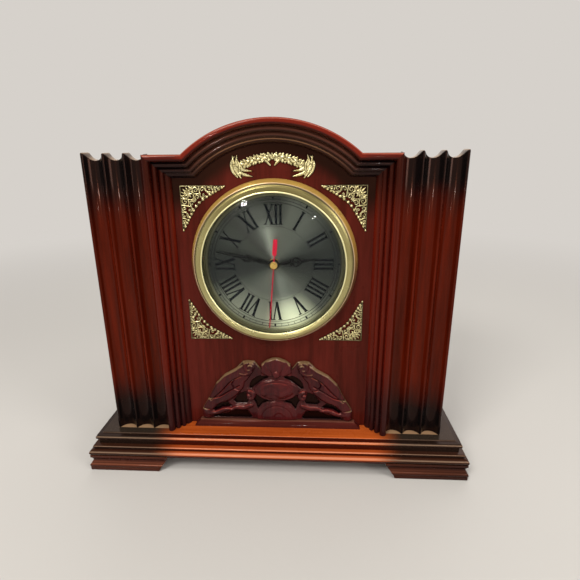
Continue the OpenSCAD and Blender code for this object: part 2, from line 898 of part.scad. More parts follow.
// Sheet pan that carries the dial in the front board
module dial_pan() color("gainsboro") {
    turned() difference() {
        union() {
            translate([0, floor_y]) square([pan_r, pan_t]);
            translate([pan_r - pan_t, pan_y]) square([pan_t, pan_t + pan_depth]);
            translate([pan_r - pan_t, pan_y]) square([pan_flange_r - pan_r + pan_t, pan_t]);
        }
        translate([0, floor_y - overrun]) square([case_tube_r + seat_gap, pan_t + 2 * overrun]);
    }
}

// Three spring clips that hold the pan against the front board from behind
module insert_clips() color("silver") {
    for (turn = clip_angles)
        at_dial() rotate([0, -turn, 0]) translate([pan_r, panel_y + front_t, -clip_w / 2]) {
            cube([clip_len, clip_t, clip_w]);
            cube([clip_t, clip_tab, clip_w]);
        }
}

module dial_plate() color("darkgray") {
    at_dial() difference() {
        rod(dial_r, dial_y, floor_y);
        rod(case_tube_r + seat_gap, dial_y - overrun, floor_y + overrun);
    }
}

// One stroke of a numeral, from foot to head, with its width at both
module stroke(foot_x, head_x, w, h) {
    polygon([[foot_x - w / 2, 0], [foot_x + w / 2, 0], [head_x + w / 2, h], [head_x - w / 2, h]]);
}

function letter_w(letter) = letter == "I" ? numeral_pitch : numeral_v_w;
function word_w(word, count) = count == 0 ? 0 : letter_w(word[count - 1]) + word_w(word, count - 1);

module letter(name, h) {
    half = numeral_v_w / 2 - numeral_bar;
    if (name == "I") stroke(0, 0, numeral_bar, h);
    if (name == "V") {
        stroke(0, -half, numeral_bar, h);
        stroke(0, half, numeral_thin, h);
    }
    if (name == "X") {
        stroke(half, -half, numeral_bar, h);
        stroke(-half, half, numeral_thin, h);
    }
}

// A numeral centred over the origin, with a serif line at its foot and its head
module numeral(word, h) {
    for (i = [0 : len(word) - 1])
        translate([word_w(word, i) + (letter_w(word[i]) - word_w(word, len(word))) / 2, 0])
            letter(word[i], h);
    for (z = [0, h - numeral_serif])
        band(word_w(word, len(word)) / 2 - numeral_thin, z, z + numeral_serif);
}

module mark_ring(share) {
    difference() {
        circle(r = share * sight_r + mark_line / 2);
        circle(r = share * sight_r - mark_line / 2);
    }
}

// Numerals and minute track, printed on the dial
module dial_markings() color("black") {
    tick_in = track_in_share * sight_r;
    tick_len = track_out_share * sight_r - tick_in;
    translate([0, dial_y, dial_z]) rotate([90, 0, 0]) linear_extrude(print_t) {
        for (share = [chapter_in_share, track_in_share, track_out_share]) mark_ring(share);
        for (i = [0 : tick_count - 1])
            rotate(360 * i / tick_count) translate([-mark_line / 2, tick_in])
                square([mark_line, tick_len]);
        for (i = [0 : hour_count - 1])
            rotate(-360 * i / hour_count) {
                translate([0, numeral_in_share * sight_r])
                    numeral(numerals[i], (numeral_out_share - numeral_in_share) * sight_r);
                translate([0, tick_in + tick_len / 2]) circle(r = tick_len / 4);
            }
    }
}

// Ring that holds the glass against the bezel and the dial in the pan
module spacer_ring() color("dimgray") {
    turned() translate([spacer_r, spacer_y])
        square([rim_r - rim_wall - seat_gap - spacer_r, dial_y - spacer_y]);
}

module glass() color("lightblue", 0.3) {
    turned() intersection() {
        translate([0, glass_ball_y]) difference() {
            circle(r = glass_ball_r, $fn = glass_fn);
            circle(r = glass_ball_r - glass_t, $fn = glass_fn);
        }
        translate([0, rim_y - rim_h]) square([glass_r, rim_h + spacer_y - rim_y]);
    }
}

// Front ring of the bezel, with a lip over the edge of the glass
module bezel_ring() color(gilt) {
    lip_back_y = glass_edge_y - running_gap;
    turned() polygon([
        [rim_r, pan_y], [rim_r, rim_y + rim_round], [rim_r - rim_round / 2, rim_y + rim_round / 4],
        [rim_r - rim_round, rim_y], [sight_r, lip_edge_y],
        [sight_r, lip_back_y - lip_w * glass_r / glass_ball_r], [glass_r, lip_back_y],
        [rim_r - rim_wall, lip_back_y], [rim_r - rim_wall, pan_y]]);
}

// Outer ring that covers the pan's flange
module bezel_flange() color(gilt) {
    near = rim_r + seat_gap;
    width = bezel_r - near;
    turned() polygon([
        [near, pan_y], [pan_flange_r + seat_gap, pan_y], [pan_flange_r + seat_gap, panel_y],
        [bezel_r, panel_y], [bezel_r, panel_y - flange_side_share * flange_ring_h],
        [bezel_r - width / 8, panel_y - flange_shoulder_share * flange_ring_h],
        [near + width / 4, panel_y - flange_ring_h],
        [near + width / 8, panel_y - flange_ring_h],
        [near, panel_y - flange_inner_share * flange_ring_h]]);
}

// Nut that clamps the dial and the pan to the movement
module mounting_nut() color(gilt) {
    at_dial() difference() {
        translate([0, dial_y - nut_t, 0]) rotate([-90, 0, 0]) cylinder(r = nut_r, h = nut_t, $fn = 6);
        rod(case_tube_r, dial_y - nut_t - overrun, dial_y + overrun);
    }
}

// Spade hand pointing to twelve: a boss, a stem, a pierced loop and a long tip
module hand_outline(len, boss_r, loop_share) {
    loop_z = loop_share * len;
    difference() {
        union() {
            circle(r = boss_r);
            band(stem_w / 2, 0, loop_z);
            translate([0, loop_z]) circle(r = loop_r);
            translate([0, (boss_r + loop_z - loop_r) / 2]) circle(r = stem_w);
            polygon([
                [-loop_r, loop_z], [loop_r, loop_z], [tip_w / 2, loop_z + 2 * loop_r],
                [tip_w / 4, len], [-tip_w / 4, len], [-tip_w / 2, loop_z + 2 * loop_r]]);
        }
        translate([0, loop_z]) circle(r = loop_hole_r);
    }
}

module hour_hand() color("black") {
    at_dial() rotate([0, hour_angle, 0]) difference() {
        slab(hour_hand_y, hour_hand_y + hand_t)
            hand_outline(hour_len, hour_boss_r, hour_loop_share);
        rod(hour_pipe_r, hour_hand_y - overrun, hour_hand_y + hand_t + overrun);
    }
}

module minute_hand() color("black") {
    at_dial() rotate([0, minute_angle, 0]) difference() {
        slab(minute_hand_y, minute_hand_y + hand_t)
            hand_outline(minute_len, minute_boss_r, minute_loop_share);
        rod(minute_tube_r, minute_hand_y - overrun, minute_hand_y + hand_t + overrun);
    }
}

module second_hand() color("firebrick") {
    at_dial() rotate([0, second_angle, 0]) difference() {
        slab(second_hand_y, second_hand_y + second_hand_t) {
            circle(r = second_boss_r);
            band(second_w / 2, -second_tail_in - overrun, second_len);
            band(second_tail_w / 2, -second_tail_out, -second_tail_in);
        }
        rod(second_shaft_r, second_hand_y - overrun, second_hand_y + hand_t + overrun);
    }
}

module hub_cap() color(gilt) {
    at_dial() difference() {
        rod(hub_cap_r, second_hand_y - hub_cap_t, second_hand_y);
        rod(second_shaft_r, second_hand_y - hub_cap_t / 2, second_hand_y + overrun);
    }
}

// Toothed wheel, turned so that a tooth points in the given direction
module gear_outline(teeth, size, tooth_direction) {
    pitch = 360 / teeth;
    tip_r = size * (teeth / 2 + tooth_height_share);
    root_r = size * (teeth / 2 - root_depth_share);
    polygon([for (i = [0 : teeth - 1])
        for (corner = [[-tooth_root_share, root_r], [-tooth_tip_share, tip_r],
                       [tooth_tip_share, tip_r], [tooth_root_share, root_r]])
            polar(corner[1], tooth_direction + (i + corner[0]) * pitch)]);
}

module gear(teeth, size, tooth_direction, front_y, rear_y) {
    slab(front_y, rear_y) gear_outline(teeth, size, tooth_direction);
}

// Direction of a tooth on a pinion so that it meshes with a wheel whose tooth points at it
function meshing(direction, teeth) = direction + half_turn_angle * (1 + 1 / teeth);

module arbor_holes(front_y, rear_y) {
    for (place = [third_at, intermediate_at, rotor_at])
        at_dial(place) rod(arbor_r + running_gap, front_y, rear_y);
    at_dial(setting_at) rod(setting_arbor_r + running_gap, front_y, rear_y);
}

module movement_box(half, front_y, rear_y) {
    at_dial() slab(front_y, rear_y) band(half, -half, half);
}

// Front shell of the movement, with the tube that the hands' arbors run in
module movement_front_case() color([0.15, 0.15, 0.16]) {
    difference() {
        union() {
            difference() {
                movement_box(movement_w / 2, movement_y, split_y);
                movement_box(inner_half, movement_y + skin_t, split_y + overrun);
            }
            at_dial() rod(case_tube_r, case_tube_front_y, movement_y + skin_t);
            at_dial([stator_left_x + stator_leg_w / 2, coil_z - core_w])
                rod(post_r, movement_y, stator_y);
        }
        at_dial() rod(case_bore_r, case_tube_front_y - overrun, movement_y + skin_t + overrun);
        arbor_holes(movement_y - overrun, movement_y + skin_t + overrun);
    }
}

// Back shell of the movement, with the tray that the battery lies in
module movement_back_case() color([0.15, 0.15, 0.16]) {
    difference() {
        union() {
            difference() {
                movement_box(movement_w / 2, split_y, movement_back_y);
                movement_box(inner_half, split_y - overrun, cavity_back_y);
            }
            at_dial() slab(tray_y, movement_back_y)
                band(tray_half_w, tray_foot_z, tray_foot_z + tray_h);
        }
        at_dial() slab(tray_y - overrun, movement_back_y + overrun)
            band(tray_half_w - tray_t, tray_foot_z + tray_t, tray_foot_z + tray_h - tray_t);
        arbor_holes(cavity_back_y - overrun, movement_back_y + overrun);
        at_dial() rod(second_shaft_r + running_gap, cavity_back_y - overrun, movement_back_y + overrun);
    }
}

module battery() color("darkgoldenrod") {
    at_dial() translate([-(battery_len + battery_nub_len) / 2, battery_y, battery_z])
        rotate([0, 90, 0]) {
            cylinder(r = battery_r, h = battery_len);
            cylinder(r = battery_nub_r, h = battery_len + battery_nub_len);
        }
}

// Spring plates at the two ends of the battery
module battery_contacts() color("silver") {
    for (side = [0, 1])
        mirror([side, 0, 0]) at_dial()
            translate([
                tray_half_w - tray_t - contact_t, battery_y - contact_w / 2, battery_z - contact_w / 2])
                cube([contact_t, contact_w, contact_w]);
}

module circuit_board() color("darkgreen") {
    at_dial() slab(cavity_back_y - board_t, cavity_back_y)
        translate([board_x, -board_half_h]) square([inner_half - board_x, 2 * board_half_h]);
    at_dial([(board_x + inner_half) / 2, 0])
        rod(chip_r, cavity_back_y - 2 * board_t, cavity_back_y - board_t);
}

// Coil on its bobbin, wound round the stator's core
module coil() color("chocolate") {
    at_dial() translate([coil_left_x, stator_y + stator_t / 2, coil_z]) difference() {
        rotate([0, 90, 0]) {
            cylinder(r = coil_r, h = coil_len);
            cylinder(r = coil_flange_r, h = coil_flange_t);
            translate([0, 0, coil_len - coil_flange_t]) cylinder(r = coil_flange_r, h = coil_flange_t);
        }
        translate([-overrun, -stator_t / 2 - seat_gap, -core_w / 2 - seat_gap])
            cube([coil_len + 2 * overrun, stator_t + 2 * seat_gap, core_w + 2 * seat_gap]);
    }
}

// Plate that leads the coil's field round the rotor
module stator() color("gray") {
    right_x = rotor_at[0] + stator_leg_w / 2;
    at_dial() slab(stator_y, stator_y + stator_t) difference() {
        union() {
            translate([stator_left_x, coil_z - core_w / 2]) square([right_x - stator_left_x, core_w]);
            translate([stator_left_x, rotor_at[1] - stator_bar_w / 2])
                square([stator_leg_w, coil_z - rotor_at[1] + stator_bar_w / 2]);
            translate([stator_left_x, rotor_at[1] - stator_bar_w / 2])
                square([rotor_at[0] - stator_left_x, stator_bar_w]);
            translate([right_x - stator_leg_w, rotor_at[1]])
                square([stator_leg_w, coil_z - rotor_at[1]]);
            translate(rotor_at) circle(r = stator_ring_r);
        }
        translate(rotor_at) circle(r = stator_hole_r);
    }
}

module pivot(r) rod(r, movement_y + seat_gap, movement_back_y - seat_gap);

// Rotor: a magnet and a pinion on one arbor, half a turn each second
module rotor() color("slategray") {
    at_dial(rotor_at) {
        rod(magnet_r, magnet_y, magnet_y + magnet_t);
        gear(rotor_teeth, rotor_module, meshing(rotor_direction, rotor_teeth),
             magnet_y + magnet_t, wheel_y(5) + wheel_t);
        pivot(arbor_r);
    }
}

module intermediate_wheel() color("white") {
    at_dial(intermediate_at) {
        gear(intermediate_teeth, rotor_module, rotor_direction, wheel_y(5), wheel_y(5) + wheel_t);
        gear(intermediate_pinion_teeth, second_module,
             meshing(intermediate_direction, intermediate_pinion_teeth), wheel_y(4), wheel_y(5));
        pivot(arbor_r);
    }
}

// Wheel that turns once a minute and carries the second hand
module second_wheel() color("white") {
    at_dial() {
        gear(second_teeth, second_module, intermediate_direction, wheel_y(4), wheel_y(4) + wheel_t);
        gear(second_pinion_teeth, third_module,
             meshing(third_direction + half_turn_angle, second_pinion_teeth), wheel_y(3), wheel_y(4));
        rod(second_shaft_r, second_hand_y - hub_cap_t / 2, movement_back_y - seat_gap);
    }
}

module third_wheel() color("white") {
    at_dial(third_at) {
        gear(third_teeth, third_module, third_direction + half_turn_angle,
             wheel_y(3), wheel_y(3) + wheel_t);
        gear(third_pinion_teeth, centre_module, meshing(third_direction, third_pinion_teeth),
             wheel_y(2), wheel_y(3));
        pivot(arbor_r);
    }
}

// Wheel that turns once an hour, held on the minute arbor by friction
module centre_wheel() color("white") {
    at_dial() difference() {
        gear(centre_teeth, centre_module, third_direction, wheel_y(2), wheel_y(2) + wheel_t);
        rod(minute_tube_r + running_gap, wheel_y(2) - overrun, wheel_y(3));
    }
}

// Tube that carries the minute hand, with the cannon pinion on it
module minute_arbor() color("gainsboro") {
    at_dial() difference() {
        union() {
            rod(minute_tube_r, minute_hand_y, wheel_y(2) + wheel_t);
            gear(cannon_teeth, cannon_module,
                 meshing(setting_direction + half_turn_angle, cannon_teeth),
                 wheel_y(1), wheel_y(1) + wheel_t);
        }
        rod(minute_bore_r, minute_hand_y - overrun, wheel_y(2) + wheel_t + overrun);
    }
}

// Motion-work wheel and pinion, on the arbor that the setting knob turns
module setting_wheel() color("white") {
    at_dial(setting_at) {
        gear(setting_teeth, cannon_module, setting_direction + half_turn_angle,
             wheel_y(1), wheel_y(1) + wheel_t);
        gear(setting_pinion_teeth, hour_module, meshing(setting_direction, setting_pinion_teeth),
             wheel_y(0), wheel_y(1));
        rod(setting_arbor_r, movement_y + seat_gap, movement_back_y + setting_knob_t / 2);
    }
}

module setting_knob() color("black") {
    near = movement_back_y + seat_gap;
    at_dial(setting_at) difference() {
        rod(setting_knob_r, near, near + setting_knob_t);
        rod(setting_arbor_r, near - overrun, movement_back_y + setting_knob_t / 2);
        for (i = [0 : setting_knob_ribs - 1])
            rotate([0, 360 * i / setting_knob_ribs, 0]) translate([setting_knob_r, 0, 0])
                rod(setting_knob_rib_r, near - overrun, near + setting_knob_t + overrun);
    }
}

// Wheel that turns once in twelve hours, on a pipe that carries the hour hand
module hour_wheel() color("white") {
    at_dial() difference() {
        union() {
            gear(hour_teeth, hour_module, setting_direction, wheel_y(0), wheel_y(0) + wheel_t);
            rod(hour_pipe_r, hour_hand_y, wheel_y(0) + wheel_t);
        }
        rod(hour_bore_r, hour_hand_y - overrun, wheel_y(1));
    }
}

front_board();
left_side_panel();
right_side_panel();
roof();
back_panel();
back_door();
left_pilaster();
right_pilaster();
left_frame_moulding();
right_frame_moulding();
head_moulding();
base_board();
plinth();
front_left_foot();
front_right_foot();
rear_left_foot();
rear_right_foot();
apron_rail();
apron_carving();
top_left_spandrel();
top_right_spandrel();
bottom_left_spandrel();
bottom_right_spandrel();
garland();
base_screws();
case_hinge_leaves();
door_hinge_leaves();
hinge_pins();
door_knob();
catch_magnet();
strike_plate();
dial_pan();
insert_clips();
dial_plate();
dial_markings();
spacer_ring();
glass();
bezel_ring();
bezel_flange();
mounting_nut();
hour_hand();
minute_hand();
second_hand();
hub_cap();
movement_front_case();
movement_back_case();
battery();
battery_contacts();
circuit_board();
coil();
stator();
rotor();
intermediate_wheel();
second_wheel();
third_wheel();
centre_wheel();
minute_arbor();
setting_wheel();
setting_knob();
hour_wheel();
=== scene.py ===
"""A wooden mantel clock with fluted pilasters, a carved apron and a brass dial insert.

The sections follow the clock as it is put together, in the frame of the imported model. Shapes are written in
millimetres and built in metres; places inside materials are in metres.
"""

import math

import bmesh
import bpy
import numpy as np
from mathutils import Matrix, Vector


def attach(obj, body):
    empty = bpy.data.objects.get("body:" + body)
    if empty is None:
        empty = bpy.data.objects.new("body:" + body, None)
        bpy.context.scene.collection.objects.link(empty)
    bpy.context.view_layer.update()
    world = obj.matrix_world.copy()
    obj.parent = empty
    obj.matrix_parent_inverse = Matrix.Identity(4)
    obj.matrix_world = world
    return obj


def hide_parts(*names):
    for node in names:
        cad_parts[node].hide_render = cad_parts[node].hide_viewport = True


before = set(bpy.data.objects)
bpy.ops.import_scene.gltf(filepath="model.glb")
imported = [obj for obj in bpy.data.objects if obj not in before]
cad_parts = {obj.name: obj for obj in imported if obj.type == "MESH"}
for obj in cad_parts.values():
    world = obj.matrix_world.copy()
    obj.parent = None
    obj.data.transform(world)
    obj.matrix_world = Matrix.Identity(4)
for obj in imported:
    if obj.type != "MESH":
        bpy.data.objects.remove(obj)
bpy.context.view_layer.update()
MM = 0.001

# Camera: a phone held a little above the clock and to its right, looking slightly down.
camera_at = (0.03204, -0.38559, 0.27488)
camera_yaw, camera_pitch, camera_roll = -0.0535, 0.2961, 0.0083
camera_data = bpy.data.cameras.new("camera")
camera_data.sensor_width = 36.0
camera_data.lens = 26.36
camera_data.clip_start = 0.01
camera = bpy.data.objects.new("camera", camera_data)
bpy.context.scene.collection.objects.link(camera)
camera.matrix_world = (
    Matrix.Translation(camera_at) @ Matrix.Rotation(-camera_yaw, 4, "Z")
    @ Matrix.Rotation(math.pi / 2 - camera_pitch, 4, "X") @ Matrix.Rotation(-camera_roll, 4, "Z"))
bpy.context.scene.camera = camera
bpy.context.scene.view_settings.view_transform = "Standard"


# Room: a plain pale floor, a pale surround and soft studio lamps.
# The surround looks pale to the camera, in gloss and through glass, and lights the clock gently.
def set_inputs(tree, node, values):
    for key, value in values.items():
        if isinstance(value, bpy.types.NodeSocket):
            tree.links.new(value, node.inputs[key])
        else:
            node.inputs[key].default_value = value


def add_node(tree, kind, inputs=None, **settings):
    made = tree.nodes.new("ShaderNode" + kind)
    for key, value in settings.items():
        setattr(made, key, value)
    set_inputs(tree, made, inputs or {})
    return made


def calc(tree, operation, *values, **settings):
    """The result of one sum on numbers or sockets."""
    return add_node(tree, "Math", dict(enumerate(values)), operation=operation, **settings).outputs[0]


def ramp(tree, value, start, full):
    """0 at the start and 1 where it is full, with soft ends."""
    return add_node(tree, "MapRange", {"Value": value, "From Min": start, "From Max": full},
                    interpolation_type="SMOOTHSTEP").outputs["Result"]


def tone(red, green, blue):
    """A display colour from 0 to 255, as the linear colour that a shader takes."""
    shares = [c / 255 for c in (red, green, blue)]
    return tuple(c / 12.92 if c <= 0.04045 else ((c + 0.055) / 1.055) ** 2.4 for c in shares) + (1.0,)


def new_material(name):
    made = bpy.data.materials.new(name)
    made.use_nodes = True
    return made, made.node_tree, made.node_tree.nodes["Principled BSDF"]


def point_in(tree):
    """The place of a point of the surface, in metres."""
    return add_node(tree, "TexCoord").outputs["Object"]


def reach_from(tree, height, scale):
    """Distance inside a material from a point on the clock's upright axis, with each coordinate scaled."""
    vector = point_in(tree)
    for operation, other in (("SUBTRACT", (0, 0, height)), ("MULTIPLY", scale)):
        vector = add_node(tree, "VectorMath", {0: vector, 1: other}, operation=operation).outputs[0]
    return add_node(tree, "VectorMath", {0: vector}, operation="LENGTH").outputs["Value"]


def seen_share(tree):
    """1 for what the camera, gloss and glass show, and 0 for what lights a surface."""
    path = add_node(tree, "LightPath").outputs
    seen = calc(tree, "MAXIMUM", path["Is Camera Ray"], path["Is Glossy Ray"])
    return calc(tree, "MAXIMUM", seen, path["Is Transmission Ray"])


PALE = tone(214, 209, 203)
surround = bpy.data.worlds.new("pale_surround")
bpy.context.scene.world = surround
surround.use_nodes = True
tree = surround.node_tree
tree.nodes.clear()
shown = add_node(tree, "Background", {"Color": PALE, "Strength": 1.0}).outputs[0]
lit = add_node(tree, "Background", {"Color": tone(255, 250, 244), "Strength": 0.36}).outputs[0]
either = add_node(tree, "MixShader", {0: seen_share(tree), 1: lit, 2: shown}).outputs[0]
add_node(tree, "OutputWorld", {"Surface": either})

# Each lamp has a name, a place, a point that it faces, its width and height, and its power.
for name, at, aim, size, power in (
        ("key_lamp", (-0.55, -1.0, 1.25), (0, 0, 0.15), (0.5, 0.4), 12),
        ("ceiling_lamp", (0.05, -0.5, 1.5), (0, -0.05, 0.1), (1.2, 0.25), 6),
        ("fill_lamp", (1.1, -0.75, 0.75), (0, 0, 0.15), (0.5, 0.7), 6),
        ("rear_lamp", (0.2, 1.2, 1.1), (0, 0, 0.2), (2.2, 1.4), 8),
        ("left_glint_lamp", (-0.313, -1.091, 0.411), (0, 0, 0.2), (0.04, 0.04), 1.3),
        ("right_glint_lamp", (0.218, -1.125, 0.308), (0, 0, 0.2), (0.022, 0.022), 0.4)):
    light = bpy.data.lights.new(name, "AREA")
    light.shape = "RECTANGLE"
    light.size, light.size_y = size
    light.energy = power
    light.color = (1.0, 0.96, 0.9)
    lamp = bpy.data.objects.new(name, light)
    lamp.location = at
    lamp.rotation_euler = (Vector(aim) - Vector(at)).to_track_quat("-Z", "Y").to_euler()
    bpy.context.scene.collection.objects.link(lamp)

floor_mesh = bpy.data.meshes.new("floor")
floor_mesh.from_pydata([(-6, -6, 0), (6, -6, 0), (6, 6, 0), (-6, 6, 0)], [], [(0, 1, 2, 3)])
floor = bpy.data.objects.new("floor", floor_mesh)
bpy.context.scene.collection.objects.link(floor)
floor_paint, tree, matt = new_material("pale_floor")
set_inputs(tree, matt, {"Base Color": tone(205, 203, 200), "Roughness": 0.7})
fade = calc(tree, "MULTIPLY", ramp(tree, reach_from(tree, 0.0, (1, 1, 1)), 0.35, 1.5), seen_share(tree))
glow = add_node(tree, "Emission", {"Color": PALE, "Strength": 1.0}).outputs[0]
either = add_node(tree, "MixShader", {0: fade, 1: matt.outputs[0], 2: glow}).outputs[0]
set_inputs(tree, tree.nodes["Material Output"], {"Surface": either})
floor_mesh.materials.append(floor_paint)


# Front board: the flat red-brown panel that carries the dial, the carving and the brass trim.
# Veneered board under glossy lacquer, glued between the pilasters.
def new_group(name, takes, gives):
    """A node group with its inputs and its output node. takes and gives say the kind of each socket."""
    group = bpy.data.node_groups.new(name, "ShaderNodeTree")
    for way, sockets in (("INPUT", takes), ("OUTPUT", gives)):
        for label, kind in sockets.items():
            group.interface.new_socket(label, in_out=way, socket_type="NodeSocket" + kind)
    return group, group.nodes.new("NodeGroupInput").outputs, group.nodes.new("NodeGroupOutput")


def noise(tree, vector, scale, detail, roughness=0.5, distortion=0.0):
    return add_node(tree, "TexNoise", {
        "Vector": vector, "Scale": scale, "Detail": detail, "Roughness": roughness,
        "Distortion": distortion}).outputs["Fac"]


def rescale(tree, value, low, high, to_low=0.0, to_high=1.0):
    return add_node(tree, "MapRange", {
        "Value": value, "From Min": low, "From Max": high, "To Min": to_low,
        "To Max": to_high}).outputs["Result"]


def mixed(tree, share, first, second):
    return add_node(tree, "Mix", {0: share, 6: first, 7: second}, data_type="RGBA").outputs[2]


def rosewood_figure():
    """Dark and light bands and fine streaks. The vector comes in stretched along the grain."""
    group, given, out = new_group("rosewood_figure", {"Vector": "Vector", "Dark": "Color", "Light": "Color"},
                                  {"Color": "Color", "Height": "Float"})
    bands = noise(group, given["Vector"], 1.0, 4.0, 0.55, 0.5)
    fine = noise(group, given["Vector"], 5.0, 5.0, 0.7)
    both = calc(group, "MULTIPLY_ADD", fine, 0.38, calc(group, "MULTIPLY", bands, 0.62))
    colour = mixed(group, ramp(group, both, 0.36, 0.64), given["Dark"], given["Light"])
    set_inputs(group, out, {"Color": colour, "Height": fine})
    return group


def handled_gloss():
    """Roughness of handled lacquer: an even gloss with faint smears and specks of dust."""
    group, given, out = new_group("handled_gloss", {"Vector": "Vector", "Low": "Float", "High": "Float"},
                                  {"Roughness": "Float"})
    smears = rescale(group, noise(group, given["Vector"], 22.0, 3.0), 0.3, 0.7, given["Low"], given["High"])
    specks = rescale(group, noise(group, given["Vector"], 900.0, 1.0), 0.66, 0.74, 0.0, 0.3)
    set_inputs(group, out, {"Roughness": calc(group, "ADD", smears, specks)})
    return group


def sprayed_shade():
    """Mask of the dark spray along the head and the foot of a piece, from the sides inwards."""
    sizes = dict.fromkeys(("Head", "Foot", "Fade", "Near X", "Far X"), "Float")
    group, given, out = new_group("sprayed_shade", {"Vector": "Vector", **sizes}, {"Shade": "Float"})
    place = add_node(group, "SeparateXYZ", {0: given["Vector"]}).outputs
    drift = rescale(group, noise(group, given["Vector"], 26.0, 2.0), 0.0, 1.0, -0.012, 0.012)
    height = calc(group, "ADD", place["Z"], drift)
    head = ramp(group, height, given["Head"], calc(group, "ADD", given["Head"], given["Fade"]))
    foot = ramp(group, height, given["Foot"], calc(group, "SUBTRACT", given["Foot"], given["Fade"]))
    reach = ramp(group, calc(group, "ABSOLUTE", place["X"]), given["Near X"], given["Far X"])
    ends = calc(group, "MAXIMUM", head, foot)
    set_inputs(group, out, {"Shade": calc(group, "MULTIPLY", ends, reach)})
    return group


FIGURE, GLOSS, SPRAY = rosewood_figure(), handled_gloss(), sprayed_shade()


def lacquered(name, dark, light, grain, spray=None, shadow=(24, 17, 17), gloss=(0.2, 0.34), coat=0.07):
    """Lacquered rosewood. grain is how much the figure is stretched along X, Y and Z."""
    made, tree, shader = new_material(name)
    where = point_in(tree)
    along = add_node(tree, "Mapping", {"Vector": where, "Scale": grain}).outputs[0]
    figure = add_node(tree, "Group", {"Vector": along, "Dark": tone(*dark), "Light": tone(*light)},
                      node_tree=FIGURE)
    colour = figure.outputs["Color"]
    if spray:
        shade = add_node(tree, "Group", {"Vector": where, **spray}, node_tree=SPRAY).outputs["Shade"]
        colour = mixed(tree, shade, colour, tone(*shadow))
    sheen = add_node(tree, "Group", {"Vector": where, "Low": gloss[0], "High": gloss[1]}, node_tree=GLOSS)
    pores = add_node(tree, "Bump", {"Height": figure.outputs["Height"], "Strength": 0.05, "Distance": 0.0004})
    set_inputs(tree, shader, {
        "Base Color": colour, "Roughness": sheen.outputs["Roughness"], "Normal": pores.outputs[0],
        "Coat Weight": coat, "Coat Roughness": 0.07, "Specular IOR Level": 0.16,
        "Specular Tint": tone(255, 150, 110)})
    return made


def measure(tree, what):
    """X, Y or Z of a point; "out", its distance from the middle plane; or "up" and "lean", how far the
    surface faces up and sideways."""
    facing = what in ("up", "lean")
    source = add_node(tree, "NewGeometry").outputs["Normal"] if facing else point_in(tree)
    axis = {"up": "Z", "lean": "X", "out": "X"}.get(what, what)
    value = add_node(tree, "SeparateXYZ", {0: source}).outputs[axis]
    return calc(tree, "ABSOLUTE", value) if what in ("lean", "out") else value


def stain(material, colour, *masks):
    """Mixes a colour over the material's own where every mask is full. A mask is what it measures, where it
    starts and where it is full."""
    tree = material.node_tree
    share = 1.0
    for what, start, full in masks:
        value = measure(tree, what) if isinstance(what, str) else what
        share = calc(tree, "MULTIPLY", share, ramp(tree, value, start, full))
    shader = tree.nodes["Principled BSDF"]
    under = shader.inputs["Base Color"].links[0].from_socket
    set_inputs(tree, shader, {"Base Color": mixed(tree, share, under, tone(*colour))})


def finish(material, *nodes):
    """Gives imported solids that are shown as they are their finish."""
    for node in nodes:
        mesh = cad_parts[node].data
        if not mesh.materials:
            mesh.materials.append(material)
        for index in range(len(mesh.materials)):
            mesh.materials[index] = material


ACROSS = (1, 0, 1)
panel_wood = lacquered("panel_wood", (58, 16, 11), (84, 26, 20), (60, 60, 5), gloss=(0.24, 0.4))
# Painted shadow of the head moulding: the panel turns near black beyond 70 mm from the arch's centre, above
# 225 mm.
moulding_shadow_reach = reach_from(panel_wood.node_tree, 0.2, ACROSS)
stain(panel_wood, (13, 5, 3), (moulding_shadow_reach, 0.07, 0.084), ("Z", 0.225, 0.25))
finish(panel_wood, "front_board")

# Carcass: two side panels, the arched roof, the back panel and its door.
# Veneered boards, glued and butted behind the front board, the back stained dark.
finish(lacquered("case_wood", (66, 14, 6), (100, 30, 14), (60, 60, 5)), "left_side_panel", "right_side_panel")
finish(lacquered("roof_wood", (66, 14, 6), (100, 30, 14), (60, 5, 60)), "roof")
finish(lacquered("back_wood", (38, 15, 11), (62, 28, 20), (70, 70, 7), gloss=(0.4, 0.6), coat=0.04),
       "back_panel", "back_door")


# Pilasters: three flutes between narrow ridges, each flute ending in a scooped head.
# Solid wood run through a moulder, rounded at the ridges, sprayed dark at the head and the foot.
def piece(name, shape, material, node, body="case", crease=34):
    """A closed mesh from points in millimetres and faces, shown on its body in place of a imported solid."""
    points, faces = shape
    mesh = bpy.data.meshes.new(name)
    mesh.from_pydata([(x * MM, y * MM, z * MM) for x, y, z in points], [], faces)
    whole = bmesh.new()
    whole.from_mesh(mesh)
    bmesh.ops.remove_doubles(whole, verts=whole.verts, dist=1e-6)
    bmesh.ops.recalc_face_normals(whole, faces=whole.faces)
    whole.to_mesh(mesh)
    whole.free()
    mesh.materials.append(material)
    mesh.shade_smooth()
    mesh.set_sharp_from_angle(angle=math.radians(crease))
    made = bpy.data.objects.new(name, mesh)
    bpy.context.scene.collection.objects.link(made)
    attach(made, body)
    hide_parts(node)


def loft(rings, closed=False):
    """Points and faces of a skin over rings of equal size, capped unless it closes on itself."""
    count = len(rings[0])
    points = [p for ring in rings for p in ring]
    faces = []
    for i in range(len(rings) if closed else len(rings) - 1):
        a, b = i * count, (i + 1) % len(rings) * count
        faces += [(a + j, a + (j + 1) % count, b + (j + 1) % count, b + j) for j in range(count)]
    if not closed:
        faces += [tuple(range(count)), tuple(range(len(points) - count, len(points)))]
    return points, faces


def mirrored(rings, x_sign, y_sign=1):
    return [[(x_sign * x, y_sign * y, z) for x, y, z in ring] for ring in rings]


PANEL_Y, RIDGE_Y, BASE_Z, SHOULDER_Z = -34.5, -46.5, 34.0, 280.0
FRAME_X, CASE_X = 100.5, 150.0


